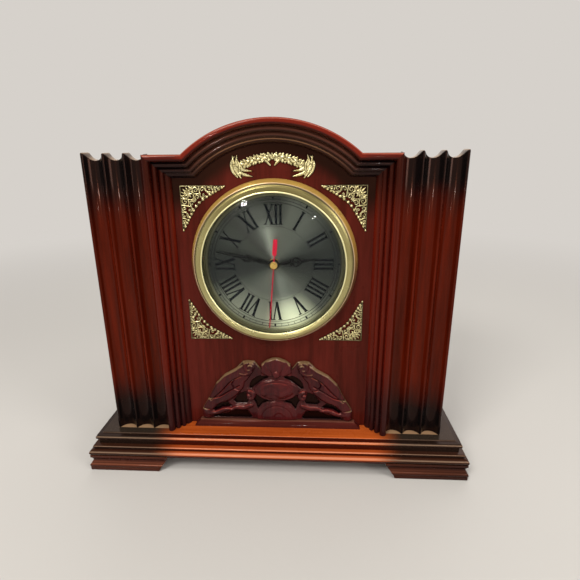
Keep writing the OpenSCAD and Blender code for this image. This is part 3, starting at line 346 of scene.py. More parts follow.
def pilaster_rings():
    """Upright slices of the right pilaster, from the frame moulding outwards."""
    flute_half, flute_depth, flute_pitch, edge_flute = 7.45, 5.7, 16.5, 9.7
    scoop_depth, crest, edge_r = 6.0, 2.2, 1.2
    xs = np.linspace(FRAME_X, CASE_X, 331)
    fine = np.linspace(FRAME_X - 3, CASE_X + 3, 1401)
    front = np.full(fine.shape, RIDGE_Y)
    head = np.full(fine.shape, SHOULDER_Z + crest)
    for line, depth, way in ((front, flute_depth, 1), (head, scoop_depth, -1)):
        r = (flute_half ** 2 + depth ** 2) / (2 * depth)
        for i in range(3):
            off = np.abs(fine - (CASE_X - edge_flute - i * flute_pitch))
            inside = off < flute_half
            line[inside] += way * (np.sqrt(r ** 2 - off[inside] ** 2) - (r - depth))

    def eased(line, ease):
        kernel = np.exp(-0.5 * (np.arange(-80, 81) * (fine[1] - fine[0]) / ease) ** 2)
        smooth = np.convolve(np.pad(line, 80, mode="edge"), kernel / kernel.sum(), mode="valid")
        return np.interp(xs, fine, smooth)

    corner = edge_r * (1 - np.sqrt(1 - np.clip((xs - CASE_X + edge_r) / edge_r, 0, 1) ** 2))
    rings = []
    for x, y, z in zip(xs, eased(front, 0.5) + corner, eased(head, 1.0) - corner):
        rings.append([(x, y, BASE_Z), (x, y, 90), (x, y, 200), (x, y, z - 0.9), (x, y + 0.2, z - 0.35),
                      (x, y + 0.8, z - 0.1), (x, PANEL_Y - 0.8, z + 0.4), (x, PANEL_Y, z + 0.4),
                      (x, PANEL_Y, 200), (x, PANEL_Y, 90), (x, PANEL_Y, BASE_Z)])
    return rings


pilaster_spray = {"Head": 0.222, "Foot": 0.094, "Fade": 0.04, "Near X": 0.093, "Far X": 0.108}
pilaster_wood = lacquered("pilaster_wood", (54, 10, 2), (90, 22, 6), (50, 50, 3.2), spray=pilaster_spray,
                          shadow=(13, 10, 10), gloss=(0.14, 0.26), coat=0.1)
# Painted highlight: faces that turn up, the scooped heads, are tan.
stain(pilaster_wood, (132, 108, 84), ("up", 0.4, 0.85))
for side, node in ((-1, "left_pilaster"), (1, "right_pilaster")):
    piece("fluted_" + node, loft(mirrored(pilaster_rings(), side)), pilaster_wood, node)

# Frame moulding: a stepped and reeded strip up each side of the panel and over the arch.
# Run in one profile, mitred at the two corners and where the arch springs.
FRAME_W, ARCH_R, ARCH_Z = 18.0, 106.0, 200.0


def reeded_profile():
    """Distance in from the outer edge and height over the panel, from the outer edge to the inner one."""
    profile = [(0.0, 0.0), (0.0, 14.4)]
    reeds = ((0.0, 5.5, 14.4, 16.4, 13.6), (6.1, 9.7, 11.0, 12.1, 10.2), (10.3, 13.9, 7.2, 8.2, 6.3))
    for near, far, foot, crown, end in reeds:
        if near:
            profile += [(near - 0.55, foot - 0.5), (near, foot - 0.35)]
        for i in range(13):
            turn = math.pi * i / 12
            low = foot if i < 6 else end
            profile.append(((near + far) / 2 - (far - near) / 2 * math.cos(turn),
                            low + (crown - low) * math.sin(turn)))
    profile += [(13.95, 4.0), (14.4, 3.9)]
    for i in range(11):
        t = i / 10
        profile.append((14.5 + 3.5 * t, 1.0 + 3.2 * math.cos(math.pi / 2 * t ** 1.25)))
    profile.append((FRAME_W, 0.0))
    return profile


def frame_rings(stations):
    """The profile at each station, a function that takes a distance in from the outer edge to x and z."""
    return [[(place(u)[0], PANEL_Y - h, place(u)[1]) for u, h in reeded_profile()] for place in stations]


def mitred_corner(u):
    return FRAME_X - u, SHOULDER_Z - u


upright_at = [*(lambda u, z=z: (FRAME_X - u, z) for z in (BASE_Z, 100.0, 180.0, 240.0)), mitred_corner]
frame_spray = {"Head": 0.262, "Foot": 0.105, "Fade": 0.05, "Near X": 0.04, "Far X": 0.085}
frame_wood = lacquered("frame_wood", (64, 14, 6), (92, 24, 13), (60, 60, 3.4), spray=frame_spray,
                       shadow=(44, 18, 18), gloss=(0.14, 0.26), coat=0.12)
# Painted highlights on the reed flanks, fading out towards the foot, and painted light that lifts the
# sideways-facing flanks out of their shade.
stain(frame_wood, (84, 26, 17), ("lean", 0.15, 0.3), ("lean", 0.5, 0.35), ("Z", 0.1, 0.25))
stain(frame_wood, (96, 22, 11), ("lean", 0.6, 0.9), ("Z", 0.06, 0.12))
stain(frame_wood, (44, 10, 5), ("Z", 0.225, 0.265))
for side, node in ((-1, "left_frame_moulding"), (1, "right_frame_moulding")):
    piece("reeded_" + node, loft(mirrored(frame_rings(upright_at), side)), frame_wood, node,
          crease=30)


def arch_place(share):
    """A station at a share of the way over the arch, from where it springs on the right."""
    def place(u):
        r = ARCH_R - u
        start = math.asin((SHOULDER_Z - u - ARCH_Z) / r)
        turn = start + (math.pi - 2 * start) * share
        return r * math.cos(turn), ARCH_Z + r * math.sin(turn)
    return place


def band(axis, low, high, edge=0.0003):
    """Two masks that leave a slice between two levels of a coordinate."""
    return (axis, low, low + edge), (axis, high, high - edge)


head_at = [mitred_corner, *(arch_place(i / 72) for i in range(73)), lambda u: (u - FRAME_X, SHOULDER_Z - u)]
# Painted highlights on faces that turn up and in a band on the red outer bead; painted shade on faces that
# turn down and on the shoulders' steps behind its crown; a painted highlight along the innermost fillet.
head_wood = lacquered("head_wood", (76, 16, 8), (112, 32, 20), (8, 50, 30), gloss=(0.16, 0.28), coat=0.25)
stain(head_wood, (112, 44, 22), ("up", 0.5, 0.9))
stain(head_wood, (72, 12, 6), ("up", 0.35, 0.1), ("out", 0.06, 0.075))
stain(head_wood, (108, 25, 11), ("Y", -0.048, -0.0486), ("out", 0.078, 0.066))
stain(head_wood, (156, 78, 58), ("up", 0.4, 0.52), ("up", 0.75, 0.62))
stain(head_wood, (48, 8, 4), ("up", -0.1, -0.5))
stain(head_wood, (84, 50, 38), ("Y", -0.0478, -0.0462))
stain(head_wood, (40, 20, 15), ("Y", -0.0478, -0.0462), ("up", 0.1, -0.5))
stain(head_wood, (160, 116, 80), *band("Y", -0.0389, -0.0386, 0.0001), ("out", 0.07, 0.03))
stain(head_wood, (16, 6, 8), ("out", 0.055, 0.072), ("Y", -0.0486, -0.0474))
piece("reeded_head_moulding", loft(frame_rings(head_at)), head_wood, "head_moulding",
      crease=30)

# Base: a moulded top board on a plinth moulding, mitred round all four sides.
# Solid wood; the ends are sprayed dark and the middle of the front is left orange-red.
TOP_X, TOP_Y = 161.7, 54.3


def boxed_ring(out, z, corner=0.5):
    """One level of a mitred moulding: a rectangle with barely eased corners."""
    x, y = TOP_X + out - corner, TOP_Y + out - corner
    ring = []
    for x_sign, y_sign, start in ((1, 1, 0), (-1, 1, 90), (-1, -1, 180), (1, -1, 270)):
        for turn in (0, 45, 90):
            a = math.radians(start + turn)
            ring.append((x_sign * x + corner * math.cos(a), y_sign * y + corner * math.sin(a), z))
    return ring


def bead_points(r, centre_z, out, neck=0.95, steps=12):
    """Points (out, z) up a round bead that joins the board at its neck."""
    reach = math.asin(neck)
    turns = [reach * (2 * i / steps - 1) for i in range(steps + 1)]
    return [(out - r + r * math.cos(turn), centre_z + r * math.sin(turn)) for turn in turns]


def banded_wood(name, middle, ends, grooves):
    """Base lacquer: a painted highlight on the upper faces of the beads, painted shade under them and in the
    grooves, and sprayed dark at the ends.
    """
    made = lacquered(name, middle[0], middle[1], (3.2, 50, 50), gloss=(0.18, 0.3), coat=0.1)
    below_top, end_share, under = ("Z", 0.0337, 0.0334), ("out", 0.086, 0.116), ("up", 0.25, -0.1)
    stain(made, (70, 20, 4), under)
    stain(made, (204, 128, 94), ("up", 0.15, 0.5), ("up", 1.0, 0.75), below_top)
    stain(made, ends, end_share)
    stain(made, (124, 102, 84), end_share, ("up", 0.3, 0.5), ("up", 0.85, 0.6), below_top)
    stain(made, (38, 23, 16), end_share, under)
    for low, high in grooves:
        stain(made, (62, 16, 6), *band("Z", low, high))
        stain(made, (30, 20, 15), *band("Z", low, high), end_share)
    return made


board_wood = banded_wood("base_wood", ((146, 60, 18), (190, 90, 36)), (46, 38, 31),
                         ((0.0239, 0.0288), (0.0324, 0.0334)))
# Painted reflection: pale strips on the board's top in front of the feet of the flutes.
stain(board_wood, (154, 122, 92), *band("Y", -0.0466, -0.035), ("out", 0.0995, 0.1), ("out", 0.15, 0.1496))
plinth_wood = banded_wood("plinth_wood", ((130, 50, 16), (172, 78, 34)), (50, 27, 17),
                          ((0.0203, 0.0216), (0.0148, 0.0161)))
board_profile = [(3, 24.07), (3, 28.6), *bead_points(2, 30.6, 5.1), (4, 32.5), (4, 33),
                 (0.5, 33), (0.1, 33.2), (0, 33.6), (-0.35, 34)]
plinth_profile = [(9.6, 15), *bead_points(2.75, 17.6, 10.6), (6.4, 20.6), (6.2, 21.2),
                  *bead_points(1.3, 22.83, 7.6)]
for name, profile, wood, node in (("moulded_base_board", board_profile, board_wood, "base_board"),
                                  ("moulded_plinth", plinth_profile, plinth_wood, "plinth")):
    piece(name, loft([boxed_ring(out, z) for out, z in profile]), wood, node)

# Feet: four bracket feet at the corners, with a cove, a bead and curved inner ends.
# Cut from the same moulding as the plinth and glued under it.
FOOT_X, FOOT_Y, FOOT_H, FOOT_FLARE, FOOT_LENGTH, FOOT_SIDE_LENGTH = 172.7, 65.3, 15.0, 8.5, 65.0, 44.0
foot_profile = [(10.2, 0.0), (10.6, 0.4), (10.6, 3.1), *bead_points(2.0, 5.0, 11.0)]
foot_profile += [(8.4 + 1.5 * (1 - math.sin(math.pi * i / 9)), 7.1 + 5.6 * i / 9) for i in range(1, 9)]
foot_profile += [(9.7, 13.0), (10.2, 13.3), (10.2, FOOT_H)]


def foot_rings():
    rings = []
    for out, z in foot_profile:
        flare = FOOT_FLARE * (1 - math.cos(math.pi * z / FOOT_H)) / 2
        x, y = TOP_X + out, TOP_Y + out
        inner_x, inner_y = FOOT_X - FOOT_LENGTH - flare, FOOT_Y - FOOT_SIDE_LENGTH - flare
        rings.append([(inner_x, y, z), (x - 0.5, y, z), (x - 0.15, y - 0.15, z), (x, y - 0.5, z),
                      (x, inner_y, z), (inner_x, inner_y, z)])
    return rings


foot_wood = lacquered("foot_wood", (48, 21, 14), (72, 33, 22), (3.2, 50, 50), coat=0.15)
# Painted highlight on the faces that turn up, painted shade on those that turn down, and painted shade
# deepening towards the right.
stain(foot_wood, (108, 62, 44), ("up", 0.3, 0.8))
stain(foot_wood, (38, 16, 12), ("up", 0.0, -0.7))
stain(foot_wood, (6, 3, 2), ("X", 0.0, 0.28))
for x_sign, y_sign, node in ((-1, -1, "front_left_foot"), (1, -1, "front_right_foot"),
                             (-1, 1, "rear_left_foot"), (1, 1, "rear_right_foot")):
    piece("moulded_" + node, loft(mirrored(foot_rings(), x_sign, y_sign)), foot_wood, node)

# Apron rail: the bevelled strip that the carving stands on.
# Solid wood, glued to the panel and the base, with a pale line along its top edge.
rail_wood = lacquered("rail_wood", (52, 16, 14), (78, 26, 22), (3.2, 50, 50))
stain(rail_wood, (140, 96, 76), *band("Z", 0.0397, 0.0401))
rail_levels = ((78, 7, 34), (77.9, 6.95, 34.3), (72.9, 5.05, 39.5), (72.5, 4.7, 39.85), (71.8, 4.2, 40))
rings = [[(-half, PANEL_Y, z), (-half, PANEL_Y - deep + 0.3, z), (-half + 0.3, PANEL_Y - deep, z),
          (half - 0.3, PANEL_Y - deep, z), (half, PANEL_Y - deep + 0.3, z), (half, PANEL_Y, z)]
         for half, deep, z in rail_levels]
piece("bevelled_apron_rail", loft(rings), rail_wood, "apron_rail")


# Carving: a pierced apron of wings, scrolls and a shell round an oval boss.
# Hand-carved wood under glossy lacquer, glued to the panel, standing on the rail.
def to_segment(x, z, start, end):
    """Distance to a straight piece of a line, and the share of the way along it."""
    dx, dz = end[0] - start[0], end[1] - start[1]
    t = np.clip(((x - start[0]) * dx + (z - start[1]) * dz) / max(dx * dx + dz * dz, 1e-9), 0, 1)
    return np.hypot(x - start[0] - dx * t, z - start[1] - dz * t), t


def strokes(x, z, lines, layered=False):
    """Depth inside tapering round-backed strokes, and their relief. A line is (x, z, radius) points and a
    crown."""
    inside, rise = np.full(x.shape, -99.0), np.zeros(x.shape)
    for line, crown in lines:
        own, own_rise = np.full(x.shape, -99.0), np.zeros(x.shape)
        for start, end in zip(line, line[1:]):
            gap, t = to_segment(x, z, start, end)
            r = start[2] + (end[2] - start[2]) * t
            own = np.maximum(own, r - gap)
            swell = np.sqrt(np.clip(1 - (gap / np.maximum(r, 1e-6)) ** 2, 0, 1))
            own_rise = np.maximum(own_rise, crown * swell)
        inside = np.maximum(inside, own)
        rise = np.where(own > 0, own_rise, rise) if layered else np.maximum(rise, own_rise)
    return inside, rise


def within(x, z, corners):
    """Depth inside a polygon, below zero outside it."""
    nearest, odd = np.full(x.shape, 1e9), np.zeros(x.shape, bool)
    for (ax, az), (bx, bz) in zip(corners, corners[1:] + corners[:1]):
        nearest = np.minimum(nearest, to_segment(x, z, (ax, az), (bx, bz))[0])
        if az != bz:
            odd ^= ((az > z) != (bz > z)) & (x < (bx - ax) * (z - az) / (bz - az) + ax)
    return np.where(odd, nearest, -nearest)


def relief(shape, low, high, step, back_y=PANEL_Y, soften=0):
    """A carved plate. shape(x, z) gives the depth inside the outline and the height over back_y."""
    xs = np.arange(low[0], high[0] + step, step)
    zs = np.arange(low[1], high[1] + step, step)
    cx, cz = np.meshgrid(xs[:-1] + step / 2, zs[:-1] + step / 2, indexing="ij")
    full = shape(cx, cz)[0] > 0
    touched = np.zeros((len(xs), len(zs)), int)
    for i in (0, 1):
        for j in (0, 1):
            touched[i:i + full.shape[0], j:j + full.shape[1]] += full
    # Points at the rim move on to the outline.
    px, pz = np.meshgrid(xs, zs, indexing="ij")
    rim = (touched > 0) & (touched < 4)
    ex, ez = px[rim], pz[rim]
    nudge = 0.02
    for _ in range(3):
        depth = shape(ex, ez)[0]
        slope_x = (shape(ex + nudge, ez)[0] - depth) / nudge
        slope_z = (shape(ex, ez + nudge)[0] - depth) / nudge
        steep = np.maximum(slope_x ** 2 + slope_z ** 2, 0.25)
        ex = ex - np.clip(depth * slope_x / steep, -step / 2, step / 2)
        ez = ez - np.clip(depth * slope_z / steep, -step / 2, step / 2)
    px[rim], pz[rim] = ex, ez
    used = touched > 0
    height = np.zeros(px.shape)
    height[used] = shape(px[used], pz[used])[1]
    weight = used.astype(float)
    for _ in range(soften):
        total, parts = height * weight, weight.copy()
        for axis, way in ((0, 1), (0, -1), (1, 1), (1, -1)):
            total = total + np.roll(height * weight, way, axis) * 0.6
            parts = parts + np.roll(weight, way, axis) * 0.6
        height = np.where(used, total / np.maximum(parts, 1e-9), 0)
    # The front and the back have a point for each used place, and walls join them at the rim.
    index = np.full(px.shape, -1)
    count = int(used.sum())
    index[used] = np.arange(count)
    points = [(x, back_y - h, z) for x, z, h in zip(px[used], pz[used], height[used])]
    points += [(x, back_y, z) for x, z in zip(px[used], pz[used])]
    quads = np.stack([index[:-1, :-1], index[1:, :-1], index[1:, 1:], index[:-1, 1:]], -1)
    faces = quads[full].tolist() + (quads[full][:, ::-1] + count).tolist()
    beside = np.pad(full, 1)
    for di, dj, p, q in ((0, -1, 0, 1), (1, 0, 1, 2), (0, 1, 2, 3), (-1, 0, 3, 0)):
        bare = full & ~beside[1 + di:1 + di + full.shape[0], 1 + dj:1 + dj + full.shape[1]]
        faces += [(a, a + count, b + count, b) for a, b in quads[bare][:, [p, q]].tolist()]
    return points, faces


def bent(points, steps=6):
    """A smooth stroke through a few (x, z, radius) points."""
    spots = np.array([points[0], *points, points[-1]], float)
    out = []
    for a, b, c, d in zip(spots, spots[1:], spots[2:], spots[3:]):
        for t in np.arange(steps) / steps:
            out.append(0.5 * (2 * b + (c - a) * t + (2 * a - 5 * b + 4 * c - d) * t ** 2
                              + (3 * b - a - 3 * c + d) * t ** 3))
    return out + [points[-1]]


def scroll(x, z, r, start, turns, thick, thin, way=1, steps=22):
    """A volute: a stroke that winds in to its eye."""
    out = []
    for i in range(steps + 1):
        t = i / steps
        a = math.radians(start) + way * turns * 2 * math.pi * t
        reach = r * (1 - 0.86 * t)
        out.append((x + reach * math.cos(a), z + reach * math.sin(a), thick + (thin - thick) * t))
    return out


carving_half = [(70.5, 40), (69.8, 52), (63.5, 62.5), (56, 77.5), (48, 86), (37, 92.5),
                (30.5, 99.4), (26.5, 100.4), (20, 99.8), (14.3, 92.5), (13, 97.5), (10.5, 99.6),
                (8, 101.2), (4, 102.9)]
carving_outline = carving_half + [(0, 103.5)] + [(-x, z) for x, z in reversed(carving_half)]
carving_windows = [
    [(24, 42.6), (27.5, 48.6), (38.5, 49.2), (47, 45.4), (60, 42.6), (60, 41.4), (25, 41.4)],
    [(42.6, 53.6), (46.6, 57.2), (51.4, 57.6), (60.4, 50.4), (58.4, 48.4), (52.6, 52.4)],
    [(26.4, 60.4), (29, 68.6), (34.4, 66.6), (40.4, 59.2), (37.6, 56.6), (28, 57.2)],
    [(7.2, 59.2), (13.6, 61.4), (18, 65.6), (21, 60.2), (19.2, 56.4), (17.8, 51.6), (13.6, 57)],
]
crescent = bent([(8.6, 84.4, 0.9), (14.6, 83, 2.3), (20.4, 78.8, 2.5), (23.6, 74, 1.3)])
wing_lines = [
    (bent([(24.5, 94.5, 5.2), (33, 86, 7.6), (45, 77, 9.4), (56, 65, 8.4), (64, 52, 6.4),
           (66, 44, 4.6)]), 2.3),
    (bent([(31, 81, 2.2), (34, 74, 3), (43, 65, 3.6), (54, 58.5, 3), (64, 55, 2)]), 2.2),
    (scroll(24.6, 94.6, 4.6, 70, 1.25, 1.9, 1, -1), 3.4),
    (bent([(22.5, 90.6, 1.6), (27.5, 87.6, 2), (33, 88, 1.6)]), 2.9),
    (bent([(41, 50.6, 1.2), (48, 50.6, 2.4), (55, 47.6, 2.6), (64, 46, 2.6)]), 2.6),
    (bent([(24, 55, 2.2), (31, 52.6, 2.6), (38, 52.6, 2.2), (43, 50.8, 1.2)]), 2.2),
    (scroll(25.2, 65, 4.6, 90, 0.9, 2.4, 2, 1), 2.8),
    (bent([(66, 43.5, 2.5), (69, 48, 1.6), (68, 53, 1.2)]), 2),
]
wing_grooves = [
    bent([(32, 86, 0.3), (42, 80, 0.5), (52, 69, 0.55), (62, 60, 0.3)]),
    bent([(34, 76, 0.35), (44, 70, 0.6), (54, 64, 0.6), (66, 61.6, 0.3)]),
    bent([(38.5, 82, 0.3), (41, 77.5, 0.55), (38, 72.5, 0.4), (34.5, 71.5, 0.3)]),
    bent([(63, 50.5, 0.3), (69.5, 51.5, 0.3)]),
]


def domed(rise, share):
    """Height of a dome at a squared share of its radius."""
    return rise * np.sqrt(np.clip(1 - share, 0, 1))


def carving_shape(x, z):
    side = np.abs(x)
    depth = within(x, z, carving_outline)
    for corners in carving_windows:
        depth = np.minimum(depth, -within(side, z, corners))
    depth = np.minimum(depth, -strokes(side, z, [(crescent, 1)])[0])
    height = 1.9 + strokes(side, z, wing_lines)[1] * 1.1
    # Oval boss with waves cut in it.
    boss_z, boss_half_w, boss_half_h = 71.0, 20.6, 11.0
    oval = (x / boss_half_w) ** 2 + ((z - boss_z) / boss_half_h) ** 2
    waves = 0.34 * np.sin(0.75 * (z - boss_z) + 1.6 * np.sin(0.32 * x)) * np.clip(1.4 - oval * 1.4, 0, 1)
    rim = np.exp(-((np.sqrt(oval) - 0.8) / 0.06) ** 2) * 0.6
    boss = np.maximum(height * 0.4 + 1.0, 2.4 + domed(2.7, oval) - waves - rim)
    height = np.where(oval < 1, boss, height)
    # Half disc with a ring cut in it and a raised curl, standing on the rail.
    disc_r, disc_top = 19.0, 60.5
    disc = np.hypot(x, (z - 40.0) * 0.98)
    lower = 2.2 + domed(2.4, (disc / disc_r) ** 2) - 0.5 * np.exp(-((disc - 14.5) / 0.7) ** 2)
    lower += 0.5 * np.exp(-(((np.hypot(x - 2, z - 44) - 5) / 0.8) ** 2)) * (z > 45)
    height = np.where((disc < disc_r) & (z < disc_top), lower, height)
    # Ribbed shell at the top, and its eye.
    fan = np.hypot(x, z - 84.0)
    ribs = 2.6 + domed(2.1, ((fan - 12.0) / 10.0) ** 2)
    ribs -= 1.3 * np.abs(np.cos(np.arctan2(x, z - 82.0) * 5.5)) ** 4
    height = np.where((side < 13.8) & (z > 86.0) & (fan < 21.0), ribs, height)
    eye, eye_r = np.hypot(x, z - 87.5), 3.6
    height = np.where(eye < eye_r, 3.2 + domed(2.1, (eye / eye_r) ** 2), height)
    height = height - 2.0 * strokes(side, z, [(line, 1.0) for line in wing_grooves])[1]
    edge = 1 - np.clip(depth / 1.3, 0, 1)
    height = 2.6 + (height - 1.9) * 0.9 - 0.9 * edge ** 2
    return depth, np.clip(height, 1.2, 5.5)


# The apron fills an oval, 64 mm to each side and 56 mm up from the middle of its foot.
APRON_FOOT_Z, APRON_OVAL = 0.034, (1 / 0.064, 0, 1 / 0.056)
carving_wood = lacquered("carving_wood", (40, 10, 15), (70, 19, 22), (70, 70, 9), gloss=(0.14, 0.24),
                         coat=0.3)
# Painted shade in the low parts near the panel and on the faces that turn down, and a painted highlight on
# the high faces that turn up.
stain(carving_wood, (15, 5, 6), ("Y", -0.0373, -0.0361))
stain(carving_wood, (18, 6, 8), ("up", -0.2, -0.7))
stain(carving_wood, (112, 40, 34), ("up", 0.35, 0.8), ("Y", -0.0378, -0.0388))
# Painted highlight: pale upper edges near the outline.
span = reach_from(carving_wood.node_tree, APRON_FOOT_Z, APRON_OVAL)
stain(carving_wood, (112, 88, 62), (span, 1.03, 1.1), ("up", 0.3, 0.6))
# Painted shade: the panel behind the pierced carving is near black.
stain(panel_wood, (7, 3, 3), (reach_from(panel_wood.node_tree, APRON_FOOT_Z, APRON_OVAL), 1.02, 0.97))
piece("carved_apron", relief(carving_shape, (-70.7, 40.0), (70.7, 103.8), 0.4, soften=1), carving_wood,
      "apron_carving", crease=50)


# Spandrels: four pierced corner pieces of scrolls and leaves.
# Thin stamped brass, pale gilt, glued into the corners of the panel.
def brass_wear():
    """Gilt brass with duller and rougher patches."""
    group, given, out = new_group(
        "brass_wear", {"Vector": "Vector", "Bright": "Color", "Dull": "Color", "Scale": "Float"},
        {"Color": "Color", "Roughness": "Float"})
    patches = noise(group, given["Vector"], given["Scale"], 4.0, 0.6)
    colour = mixed(group, rescale(group, patches, 0.35, 0.65), given["Bright"], given["Dull"])
    set_inputs(group, out, {"Color": colour, "Roughness": rescale(group, patches, 0.3, 0.7, 0.2, 0.38)})
    return group


WEAR = brass_wear()


def metal(name, bright, dull, scale=60.0, metallic=1.0, bump=0.0):
    made, tree, shader = new_material(name)
    where = point_in(tree)
    worn = add_node(tree, "Group", {"Vector": where, "Bright": tone(*bright), "Dull": tone(*dull),
                                    "Scale": scale}, node_tree=WEAR)
    set_inputs(tree, shader, {"Base Color": worn.outputs["Color"], "Roughness": worn.outputs["Roughness"],
                              "Metallic": metallic})
    if bump:
        grit = noise(tree, where, 1400.0, 2.0)
        bumped = add_node(tree, "Bump", {"Height": grit, "Strength": bump, "Distance": 0.0002}).outputs[0]
        set_inputs(tree, shader, {"Normal": bumped})
    return made


def leaf_line(x, z, turn, length, wide):
    """A pointed leaf as a stroke from its root."""
    along, across = length * math.cos(math.radians(turn)), length * math.sin(math.radians(turn))
    return [(x + t * along, z + t * across, max(wide * math.sin(math.pi * (0.12 + 0.86 * t)) ** 0.8, 0.12))
            for t in (0, 0.2, 0.4, 0.6, 0.8, 1)]


def spandrel_lines():
    """Scrolls, a rosette and leaves between two straight edges and a scalloped long side."""
    lines = [([(0.7, 0.7, 0.66), (36, 0.8, 0.5)], 0.5), ([(0.7, 0.7, 0.66), (0.8, 36, 0.5)], 0.5)]
    long_side = bent([(36.6, 1.3, 0.8), (30, 5, 0.8), (23.5, 8.8, 0.8), (15, 15, 0.8),
                      (8.8, 23.5, 0.8), (5, 30, 0.8), (1.3, 36.6, 0.8)], 8)
    lines.append(([(a, b, 0.55) for a, b, r in long_side], 0.5))
    lines += [([(a - 0.3, b - 0.3, 1.25), (a, b, 1.15)], 0.95) for a, b, r in long_side[2:-2:3]]
    lines += [([(a, b, 0.95), (a + 0.02, b, 0.95)], 0.95) for a, b in ((36.9, 1), (1, 36.9))]
    lines.append((leaf_line(2.6, 2.6, 45, 8.4, 1.1), 0.8))
    lines.append(([(6.9, 6.9, 2), (7.1, 7.1, 2)], 0.95))
    lines += [(leaf_line(7, 7, 45 + k * 360 / 7, 3.9, 0.95), 0.85) for k in range(7)]
    half = [scroll(*volute) for volute in (
        (13.2, 3.9, 2.5, 200, 1.15, 0.72, 0.5), (19, 3.4, 2.2, 20, 1.15, 0.7, 0.5, -1),
        (24.6, 2.9, 1.7, 200, 1, 0.62, 0.45), (29, 2.3, 1.2, 20, 0.9, 0.55, 0.45, -1),
        (14.6, 9.6, 2.3, 120, 1.15, 0.7, 0.5), (20.2, 7.4, 1.5, 40, 1, 0.62, 0.45),
        (3.2, 9, 1.7, 90, 1, 0.62, 0.45))]
    half += [bent(sprig) for sprig in (
        [(8.2, 1.2, 0.6), (9.8, 3.2, 0.85), (11.2, 7, 0.7), (11.6, 11.4, 0.6)],
        [(10.4, 1, 0.5), (12, 6.6, 0.8), (17.4, 6.4, 0.5)], [(16, 1, 0.55), (16.4, 4, 0.8), (17.2, 9.4, 0.6)],
        [(21.6, 1, 0.5), (22, 4.4, 0.75), (23.8, 6.4, 0.5)],
        [(26.6, 1, 0.5), (27.2, 3.6, 0.7), (28.4, 5, 0.45)],
        [(31, 1, 0.5), (31.6, 2.8, 0.6), (33.4, 1.6, 0.5)])]
    half += [leaf_line(*leaf, 0.8) for leaf in (
        (3.6, 6.2, 60, 3.4), (10.6, 10.6, 45, 4.2), (9.4, 5, 20, 3.4), (17.6, 9.2, 20, 3.2),
        (22.4, 5.2, -10, 3), (26.2, 5, 160, 2.8), (5.4, 1.6, 60, 2.6), (30.2, 3.6, 200, 2.4))]
    for line in half:
        lines += [(line, 0.8), ([(z, x, r) for x, z, r in line], 0.8)]
    return lines


SPANDREL, SPANDREL_X, SPANDREL_SPAN = spandrel_lines(), 76.7, 38.2


def stamped(inside, rise):
    """Depth and height of thin brass stamped to a relief."""
    return inside, 0.25 + np.minimum(rise, 0.95)


trim_brass = metal("trim_brass", (236, 226, 176), (178, 164, 112), scale=420.0)
# Painted shade in the low parts next to the panel, on the spandrels and the garland.
stain(trim_brass, (44, 36, 18), ("Y", -0.0356, -0.035))
for x_sign, z_sign, corner_z, name in ((-1, 1, 256.2, "top_left"), (1, 1, 256.2, "top_right"),
                                       (-1, -1, 120.8, "bottom_left"), (1, -1, 120.8, "bottom_right")):
    def corner_shape(x, z, x_sign=x_sign, z_sign=z_sign, corner_z=corner_z):
        return stamped(*strokes(SPANDREL_X - x * x_sign, (corner_z - z) * z_sign, SPANDREL, True))

    low_x, high_x = sorted((SPANDREL_X * x_sign, (SPANDREL_X - SPANDREL_SPAN) * x_sign))
    low_z, high_z = sorted((corner_z, corner_z - z_sign * SPANDREL_SPAN))
    piece(name + "_filigree", relief(corner_shape, (low_x, low_z), (high_x, high_z), 0.3), trim_brass,
          name + "_spandrel", crease=50)


# Garland: an arch of overlapping leaves with a cluster at each end and two crossed leaves in the middle.
# The same stamped brass as the spandrels, glued over the dial.
def garland_lines():
    arc_r, arc_z = 49.5, 228.1

    def on_arc(turn):
        return arc_r * math.sin(math.radians(turn)), arc_z + arc_r * math.cos(math.radians(turn))

    lines = [([(*on_arc(turn), 2.0) for turn in range(-34, 35, 2)], 0.05)]
    feathers = [[(29.8, 278.6, 0.5), (33, 273, 1.1), (32, 267, 1.3), (28.2, 262.2, 0.7)],
                [(31.8, 279, 0.4), (31.2, 273.6, 1.2), (29.6, 267.6, 1.3), (25.4, 261.6, 0.7)],
                [(28, 279.2, 0.4), (28.9, 274, 1.3), (27.4, 269, 1.4), (23.6, 263.2, 0.6)],
                [(25.6, 273.4, 0.7), (25.8, 270, 1.4), (22.6, 267.6, 1.3), (16, 267, 0.4)],
                [(27, 267.2, 1), (24.6, 265.2, 1.4), (21, 263.8, 1.3), (15.8, 262.6, 0.4)],
                [(30.6, 271.6, 0.7), (27, 267, 1.1), (25.6, 263.6, 0.6)],
                [(28.2, 275.6, 0.6), (26.4, 271.4, 1.1), (26.8, 266.6, 0.7)]]
    for side in (-1, 1):
        right_lines = []
        for i in range(11):
            out = 33.0 - 3.1 * i
            drift = (i * 37) % 15 - 7 - out
            for lean, length, wide in ((62, 4.4, 1.5), (-66, 4.2, 1.5), (24 - 40 * (i % 2), 3.4, 1.5)):
                right_lines.append(leaf_line(*on_arc(out), lean + drift, length, wide))
        right_lines += [bent(feather) for feather in feathers]
        right_lines.append(leaf_line(5.6, 275.6, 228, 6.8, 1.15))
        lines += [([(side * x, z, r) for x, z, r in line], 0.95) for line in right_lines]
    return lines + [(leaf_line(0, 276.2, turn, 5.0, 1.5), 0.85) for turn in (90, 58, 122)]


GARLAND = garland_lines()
garland = relief(lambda x, z: stamped(*strokes(x, z, GARLAND, True)), (-37.0, 260.0), (37.0, 283.0), 0.32)
piece("leafy_garland", garland, trim_brass, "garland", crease=50)

# Dial insert: a pressed pan, a brushed dial plate, a dark spacer and the printed markings.
# The insert is a bought unit that pushes into the hole in the board and is held by three spring clips.
DIAL_Z = 190.8
finish(metal("pan_metal", (176, 176, 172), (140, 140, 136), scale=40.0), "dial_pan")
finish(metal("clip_steel", (170, 172, 175), (120, 122, 126), scale=90.0), "insert_clips")


